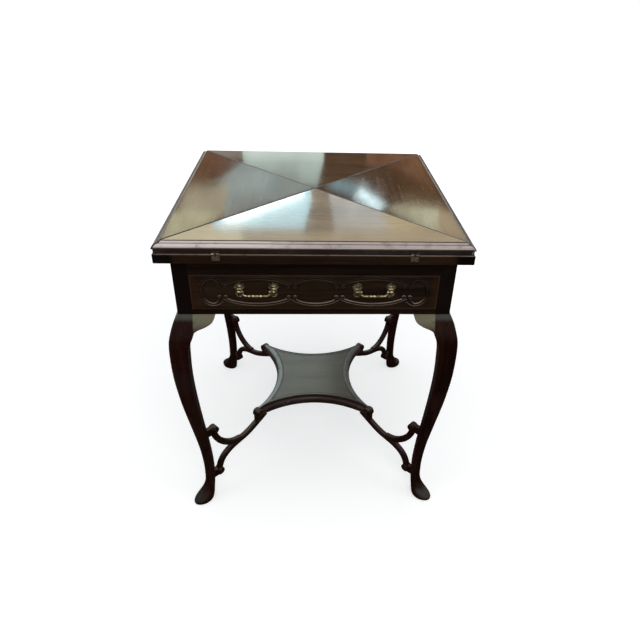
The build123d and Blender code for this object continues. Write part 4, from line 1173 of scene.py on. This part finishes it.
ROOM = (
    Card("room_wall", 0.10, (1.0, 0.75, 0.55), 0.5,
         upright(3.20, (-2.2, 1.0), (2.2, 1.0), (2.2, 2.95), (-2.2, 2.95)), 1.6),
    Card("red_left", 0.35, (1.0, 0.48, 0.38), 0.5,
         upright(3.15, (-1.05, 1.42), (-0.60, 1.44), (-0.55, 1.66), (-1.05, 1.74)), 6.0),
    Card("right_red", 0.55, (1.0, 0.50, 0.30), 0.5,
         upright(3.15, (0.45, 1.22), (1.15, 1.30), (1.15, 1.78), (0.72, 1.60), (0.45, 1.35)), 6.0),
    Card("low_front", 3.0, (1.0, 0.90, 0.64), 0.2,
         upright(3.10, (-0.62, 2.50), (1.5, 2.50), (1.5, 3.05), (-0.62, 3.05)), 2.5),
    Card("low_left_front", 4.8, (1.0, 0.93, 0.66), 0.2,
         upright(3.09, (-1.5, 2.46), (-0.60, 2.46), (-0.55, 3.05), (-1.5, 3.05)), 2.5),
    Card("haze_left", 6.4, (0.60, 0.92, 1.0), 0.12,
         upright(3.05, (-0.82, 2.38), (-0.05, 2.05), (0.01, 2.06), (0.02, 2.23), (-0.04, 2.50),
                 (-0.82, 2.50))),
    Card("middle", 1.6, (1.0, 0.95, 0.75), 0.3,
         upright(3.08, (0.0, 2.05), (0.12, 2.05), (0.22, 2.55), (-0.06, 2.55))),
    Card("haze_right", 3.3, (0.92, 1.0, 0.98), 0.25,
         upright(3.05, (0.14, 2.07), (0.59, 2.25), (0.72, 2.48), (0.22, 2.50))),
    Card("far_right", 3.2, (1.0, 0.90, 0.55), 0.15,
         upright(3.05, (0.59, 2.25), (1.42, 2.55), (0.70, 2.50))),
    Card("streak", 14.0, (0.88, 0.98, 1.0), 0.05,
         upright(3.0, (-0.76, 2.41), (-0.71, 2.33), (-0.33, 2.155), (-0.04, 2.07), (-0.04, 2.14),
                 (-0.26, 2.25), (-0.60, 2.41))),
    Card("blotch_in", 1.8, (0.50, 0.90, 1.0), 0.4,
         upright(3.02, (0.20, 1.77), (0.31, 1.68), (0.50, 1.74), (0.44, 1.84)), 9.0),
    Card("blotch_out", 8.5, (0.70, 0.94, 1.0), 0.5,
         upright(3.0, (0.44, 1.84), (0.50, 1.76), (0.74, 1.88), (0.67, 1.93)), 9.0),
    Card("low_right", 2.7, (0.95, 1.0, 0.72), 0.4,
         upright(3.05, (0.72, 1.92), (0.87, 1.88), (1.18, 1.90), (1.22, 2.14), (1.15, 2.12))),
    Card("low_right_end", 1.9, (1.0, 0.88, 0.60), 0.3,
         upright(3.05, (1.18, 1.90), (1.30, 1.92), (1.60, 2.20), (1.22, 2.14))),
    Card("back_pale", 2.4, (0.82, 1.0, 0.92), 0.2,
         upright(3.0, (-0.50, 1.10), (0.11, 1.10), (0.11, 1.32), (-0.50, 1.32))),
    Card("back_low", 1.8, (0.74, 1.0, 0.95), 0.3,
         upright(3.0, (-0.50, 1.32), (0.11, 1.32), (0.06, 1.50), (-0.08, 1.50), (-0.50, 1.37))),
    Card("back_left", 0.8, (1.0, 1.0, 0.9), 0.3,
         upright(3.0, (-0.80, 1.15), (-0.50, 1.15), (-0.50, 1.31), (-0.80, 1.35))),
    Card("left_grey", 1.8, (0.75, 1.0, 1.0), 0.3,
         upright(3.06, (-0.58, 1.56), (-0.05, 1.74), (-0.05, 1.82), (-0.80, 2.03), (-0.97, 1.86))),
    Card("left_brown", 1.7, (1.0, 0.95, 0.70), 0.3,
         upright(3.02, (-1.16, 1.92), (-1.04, 1.73), (-0.72, 1.75), (-0.80, 1.98))),
    Card("low_left", 2.7, (1.0, 1.0, 0.68), 0.25,
         upright(3.05, (-1.23, 1.95), (-1.05, 1.94), (-0.80, 1.98), (-1.37, 2.35), (-1.46, 2.35))),
    Card("dark_carpet", 0.10, (1.0, 0.80, 0.70), 0.3,
         ((-4.0, -4.5, 0.002), (4.0, -4.5, 0.002), (4.0, 1.2, 0.002), (-4.0, 1.2, 0.002)), 1.5),
)


@dataclass(frozen=True)
class Lamp:
    """A square soft lamp: its name, place, aim, side and power in watts."""

    name: str
    place: Point
    aim: Point
    side: float
    power: float

    def build(self) -> None:
        """Hangs the lamp and points it."""
        bpy.ops.object.light_add(type="AREA", location=self.place)
        lamp = bpy.context.object
        lamp.name = self.name
        lamp.data.shape = "RECTANGLE"
        lamp.data.size = lamp.data.size_y = self.side
        lamp.data.energy = self.power
        direction = Vector(self.aim) - Vector(self.place)
        lamp.rotation_euler = direction.to_track_quat("-Z", "Y").to_euler()


LAMPS = (
    Lamp("overhead", (0.0, -0.3, 3.0), (0.0, 0.0, 0.5), 2.4, 32.0),
    Lamp("front_key", (0.4, -2.6, 2.4), (0.0, 0.0, 0.45), 1.5, 22.0),
    Lamp("room_left", (-2.6, -1.2, 1.5), (0.0, 0.0, 0.4), 1.6, 12.0),
    Lamp("room_right", (2.6, -0.9, 1.5), (0.0, 0.0, 0.4), 1.6, 10.0),
)


@dataclass
class Studio:
    """A pale floor, a white surround and the camera."""

    eye: Point = (-0.01715, -1.24007, 1.16853)
    yaw: float = -0.06947
    pitch: float = 0.57356
    roll: float = 0.03724
    lens: float = 30.94672
    shift: float = -0.03019
    room_light: Colour = (0.80, 0.86, 0.92)
    room_strength: float = 0.45
    floor_side: float = 30.0
    floor_place: Point = (0.0, 6.0, -0.0003)
    floor_colour: Colour = (0.62, 0.62, 0.61)
    floor_glow: Colour = (0.55, 0.55, 0.55)
    floor_fade: Span = (0.7, 2.2)

    def camera(self) -> None:
        """Sets the camera at the photograph's angle."""
        bpy.ops.object.camera_add(location=self.eye)
        camera = bpy.context.object
        camera.data.sensor_fit = "HORIZONTAL"
        camera.data.sensor_width = 36.0
        camera.data.lens = self.lens
        camera.data.shift_x = self.shift
        camera.data.clip_start = 0.05
        forward = Vector((0.0, math.cos(self.pitch), -math.sin(self.pitch)))
        right = Vector((1.0, 0.0, 0.0))
        up = right.cross(forward)
        across = math.cos(self.roll) * right + math.sin(self.roll) * up
        above = -math.sin(self.roll) * right + math.cos(self.roll) * up
        turn = Matrix.Rotation(self.yaw, 3, "Z")
        matrix = Matrix([turn @ across, turn @ above, -(turn @ forward)]).transposed().to_4x4()
        matrix.translation = Vector(self.eye)
        camera.matrix_world = matrix
        bpy.context.scene.camera = camera

    @staticmethod
    def _mixed(tree: Tree, lighting: bpy.types.Node, seen: bpy.types.Node) -> bpy.types.Node:
        """One shader that lights the table, and another that camera, mirrors and glass see."""
        path = tree.add("ShaderNodeLightPath").outputs
        outright = tree.most(path["Is Camera Ray"], path["Is Transmission Ray"], path["Is Glossy Ray"])
        return tree.add("ShaderNodeMixShader", {0: outright, 1: lighting.outputs[0], 2: seen.outputs[0]})

    def world(self) -> None:
        """White to the camera and to mirrors, softer as a light."""
        world = bpy.data.worlds.new("surround")
        bpy.context.scene.world = world
        world.use_nodes = True
        world.node_tree.nodes.clear()
        tree = Tree(world.node_tree)
        kind = "ShaderNodeBackground"
        room = tree.add(kind, {"Color": self.room_light, "Strength": self.room_strength})
        white = tree.add(kind, {"Color": WHITE, "Strength": 1.0})
        tree.show(self._mixed(tree, room, white), "ShaderNodeOutputWorld")

    def floor(self) -> None:
        """A plain white floor that keeps the table's soft shadow."""
        Bench.clear()
        bpy.ops.mesh.primitive_plane_add(size=self.floor_side, location=self.floor_place)
        floor = bpy.context.object
        floor.name = "studio_floor"
        Bench.settle(floor)
        material, tree = new_material("pale floor")
        reach = tree.add("ShaderNodeVectorMath", {0: tree.place()}, operation="LENGTH").outputs["Value"]
        brightness = tree.blend(tree.fade(reach, *self.floor_fade), self.floor_glow, WHITE)
        matt = tree.add("ShaderNodeBsdfDiffuse", {"Color": self.floor_colour})
        glow = tree.add("ShaderNodeEmission", {"Color": brightness})
        both = tree.add("ShaderNodeAddShader", {0: matt.outputs[0], 1: glow.outputs[0]})
        tree.show(self._mixed(tree, matt, both))
        floor.data.materials.append(material)

    def build(self) -> None:
        """Sets up the whole studio."""
        self.floor()
        for item in ROOM + LAMPS:
            item.build()
        self.world()
        self.camera()
        bpy.context.scene.view_settings.view_transform = "Standard"


# ------------------------------------------------------------------- the table


FRAME_WOOD = PolishedWood(
    "dark mahogany", dark=(0.0052, 0.0013, 0.0008), middle=(0.0125, 0.0026, 0.0015),
    light=(0.033, 0.0085, 0.0040), wear_and_highlight_colour=(0.10, 0.05, 0.035), roughness=0.26, specular=0.065,
    haze=(0.07, 0.06, 0.05), haze_amount=0.07,
)
# The front rails are darker than the side and back rails: painted shade under the top's overhang.
FRONT_RAILS_IN_SHADE = PolishedWood(
    "mahogany rails darkened as painted shade", dark=(0.0052, 0.0023, 0.0012), middle=(0.0095, 0.0043, 0.0021),
    light=(0.019, 0.0088, 0.0042), wear_and_highlight_colour=(0.08, 0.05, 0.03), roughness=0.30, specular=0.075,
    haze=(0.05, 0.04, 0.03), haze_amount=0.05,
)
OUTER_RAILS = PolishedWood(
    "dark mahogany side rails", dark=(0.009, 0.0032, 0.0019), middle=(0.021, 0.0075, 0.004),
    light=(0.044, 0.018, 0.009), wear_and_highlight_colour=(0.08, 0.05, 0.03), grain=Axis.Y, roughness=0.30, specular=0.15,
    haze=(0.07, 0.055, 0.045), haze_amount=0.08,
)
# Its pale pinkish wear colour is mostly a painted highlight on the rims and mitre arrises; its dark second
# colour marks the joints and edges, with painted shade in the grooves.
LEAF_WOOD = PolishedWood(
    "leaf mahogany", dark=(0.055, 0.024, 0.010), middle=(0.098, 0.046, 0.018), light=(0.145, 0.078, 0.033),
    wear_and_highlight_colour=(0.48, 0.40, 0.37), second=(0.020, 0.0055, 0.0035), roughness=0.07, haze_roughness=0.05,
    specular=0.5, haze_amount=0.07, specks=0.5, scratches=0.14, relief=0.00002, wear=0.6,
    handled=(MITRE_ARRIS_WEAR_AND_HIGHLIGHT, RIM_ROLL_HIGHLIGHT), parted=(MITRE_JOINT, RIM_QUIRK_SHADE, RIM_STEP_SHADE, SIDE_OVOLO_SHADE, LEAF_EDGE_TONE_AND_SHADE),
)
# Its pale wear colour is a painted highlight on the slab's top arris.
SLAB_WOOD = PolishedWood(
    "slab mahogany", dark=(0.012, 0.0046, 0.0022), middle=(0.024, 0.0098, 0.0040),
    light=(0.042, 0.019, 0.009), wear_and_highlight_colour=(0.20, 0.15, 0.11), second=(0.003, 0.0012, 0.0008),
    roughness=0.28, specular=0.10, haze=(0.08, 0.06, 0.04), haze_amount=0.06,
    handled=(SLAB_RIM_HIGHLIGHT,), parted=(SLAB_ENDS,), wear=0.7,
)
# Its pale blue-grey wear colour and green-grey second colour are painted reflection on the platform's rim and
# field; its pale haze is polish haze lightened as painted reflection.
SHELF_WOOD = PolishedWood(
    "undertier mahogany", dark=(0.012, 0.0050, 0.003), middle=(0.024, 0.0095, 0.006),
    light=(0.046, 0.020, 0.012), wear_and_highlight_colour=(0.36, 0.44, 0.43), second=(0.180, 0.188, 0.160),
    second_figure=0.75, roughness=0.30, specular=0.2,
    haze=(0.16, 0.16, 0.14), haze_amount=0.1, specks=0.3, scratches=0.2, wear=0.8,
    handled=(PLATFORM_RIM_REFLECTION,), parted=(PLATFORM_FIELD_REFLECTION,),
)
DRAWER_WOOD = PolishedWood(
    "drawer mahogany", dark=(0.009, 0.0042, 0.0022), middle=(0.020, 0.0092, 0.0046),
    light=(0.042, 0.020, 0.009), wear_and_highlight_colour=(0.13, 0.08, 0.05), second=(0.029, 0.0098, 0.0030),
    second_figure=0.7, roughness=0.28, specular=0.12,
    haze=(0.10, 0.07, 0.05), haze_amount=0.07, handled=(DRAWER_ARRIS,), parted=(DRAWER_ENDS,), wear=0.25,
)
LINING_WOOD = PolishedWood(
    "drawer lining", dark=(0.16, 0.09, 0.045), middle=(0.27, 0.165, 0.09), light=(0.38, 0.26, 0.15),
    wear_and_highlight_colour=(0.4, 0.3, 0.2), grain=Axis.Y, roughness=0.6, specular=0.3, haze_amount=0.15,
)


class CardTable:
    """Every finish and every piece of the table."""

    def __init__(self) -> None:
        """Makes the finishes."""
        self.effects = SharedEffects()
        # Its grey-green second colour is a painted sheen on the knees and feet; the blocks above the knees
        # are painted shade.
        self.upright = self._wood(
            FRAME_WOOD, name="dark mahogany upright", grain=Axis.Z, parted=(KNEE_TOP_SHEEN, FOOT_SHEEN, KNEE_BLOCK_SHADE),
            second=(0.072, 0.070, 0.056), second_figure=0.6,
        )
        # The brackets' pale straw second colour, stronger towards their tops, is painted light.
        self.bracket = self._wood(
            FRAME_WOOD, name="mahogany brackets with painted sheen", parted=(BRACKET_FACE_SHEEN,),
            second=(0.175, 0.155, 0.100), second_figure=0.6,
        )
        # Its lighter second colour is a painted highlight on the scrolls' upward-facing parts.
        self.scroll = self._wood(
            FRAME_WOOD, name="dark mahogany scrolls", parted=(SCROLL_TOP_HIGHLIGHT,),
            second=(0.125, 0.090, 0.072), second_figure=0.35,
        )
        self.across = self._wood(FRONT_RAILS_IN_SHADE)
        self.side = self._wood(OUTER_RAILS)
        self.back = self._wood(OUTER_RAILS, name="dark mahogany back rail", grain=Axis.X, shift=0.61)
        self.slab = self._wood(SLAB_WOOD)
        self.shelf = self._wood(SHELF_WOOD)
        self.drawer = self._wood(DRAWER_WOOD)
        # Its pale second colour is a painted highlight on the lower rolls.
        self.carving = self._wood(
            DRAWER_WOOD, name="carved drawer mouldings", handled=(), parted=(LOWER_ROLL_HIGHLIGHT,),
            second=(0.30, 0.22, 0.17), second_figure=0.6, wear=0.5,
        )
        self.leaves = {
            side: self._wood(
                LEAF_WOOD, name=f"leaf mahogany {side.name.lower()}", tilt=side, shift=0.37 * side.value,
                grain=Axis.X if side in (Side.FRONT, Side.BACK) else Axis.Y,
            )
            for side in Side
        }
        self.lining = self._wood(LINING_WOOD)
        self.lining_across = self._wood(LINING_WOOD, name="plain boards across", grain=Axis.X)
        self.brass, self.dark_brass, self.hinge_brass, self.black_brass, self.steel = (
            AgedMetal(*metal).make()
            for metal in (
                ("aged brass", (0.42, 0.34, 0.19), (0.035, 0.029, 0.016), 0.26, 0.9),
                # The rosettes take a darker copy of the brass than the bails and posts: painted shade.
                ("brass darker as painted shade", (0.20, 0.17, 0.10), (0.020, 0.018, 0.011), 0.34, 0.92),
                ("dull hinge brass", (0.20, 0.17, 0.12), (0.030, 0.025, 0.016), 0.40, 0.85),
                # The leaf halves of the hinges, near black: painted shade under the leaves' moulding.
                ("hinge brass darkened as painted shade", (0.060, 0.048, 0.030), (0.014, 0.011, 0.008), 0.5, 0.8),
                ("dull steel", (0.42, 0.41, 0.39), (0.12, 0.10, 0.08), 0.4, 0.6),
            )
        )
        self.baize = Baize().make()

    def _wood(self, base: PolishedWood, **changes: object) -> Material:
        """A wood's material, with what differs from the base."""
        return replace(base, **changes).make(self.effects)

    @staticmethod
    def _dress(material: Material, *names: str) -> None:
        """Gives solid nodes a finish."""
        for name in names:
            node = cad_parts[name]
            node.data.materials.clear()
            node.data.materials.append(material)

    def dress_nodes(self) -> None:
        """Gives every solid node its finish."""
        self._dress(self.across, "front_top_rail", "front_bottom_rail")
        self._dress(self.back, "back_rail")
        self._dress(self.side, "side_rail_left", "side_rail_right")
        self._dress(self.slab, "top_slab")
        self._dress(self.drawer, "drawer_front")
        self._dress(
            self.lining, "drawer_side_left", "drawer_side_right", "drawer_runners", "drawer_guides",
            "drawer_kickers",
        )
        self._dress(
            self.lining_across, "drawer_back", "drawer_bottom", "drawer_stops", "corner_braces",
            "pivot_board", "stretcher_dowels",
        )
        for side in Side:
            word = side.name.lower()
            self._dress(self.leaves[side], f"flap_{word}")
            self._dress(self.baize, f"flap_baize_{word}")
            self._dress(self.black_brass, f"flap_hinge_halves_{word}")
        self._dress(self.baize, "slab_baize")
        self._dress(self.hinge_brass, "slab_hinge_halves", "pivot_bush", "pivot_plate")
        self._dress(self.brass, "handle_posts")
        self._dress(
            self.steel, "hinge_pins", "pivot_plate_screws", "pivot_bolt", "pivot_washer", "pivot_nut",
            "stop_peg", "platform_screws", "handle_nuts",
        )
        smoothed = SmoothedNodes()
        smoothed.build([f"leg_{corner}" for corner in CORNERS], self.upright)
        smoothed.build([f"knee_brackets_{corner}" for corner in CORNERS], self.bracket)
        scrolls = [f"stretcher_scroll_{corner}" for corner in CORNERS]
        smoothed.build([*scrolls, "stretcher_branches"], self.scroll)
        SmoothedNodes(angle=20.0).build(["undertier_platform"], self.shelf)

    def build(self) -> None:
        """Dresses the solids and adds the carved and cast pieces."""
        self.dress_nodes()
        CarvedFront().build(self.carving)
        DropHandles().build(self.brass, self.dark_brass)
        ScrollCarving().build(self.scroll)


def main() -> None:
    """Builds the table and its studio."""
    logging.basicConfig(level=logging.INFO, format="%(name)s: %(message)s")
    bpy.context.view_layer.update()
    CardTable().build()
    Studio().build()


if __name__ == "__main__":
    main()
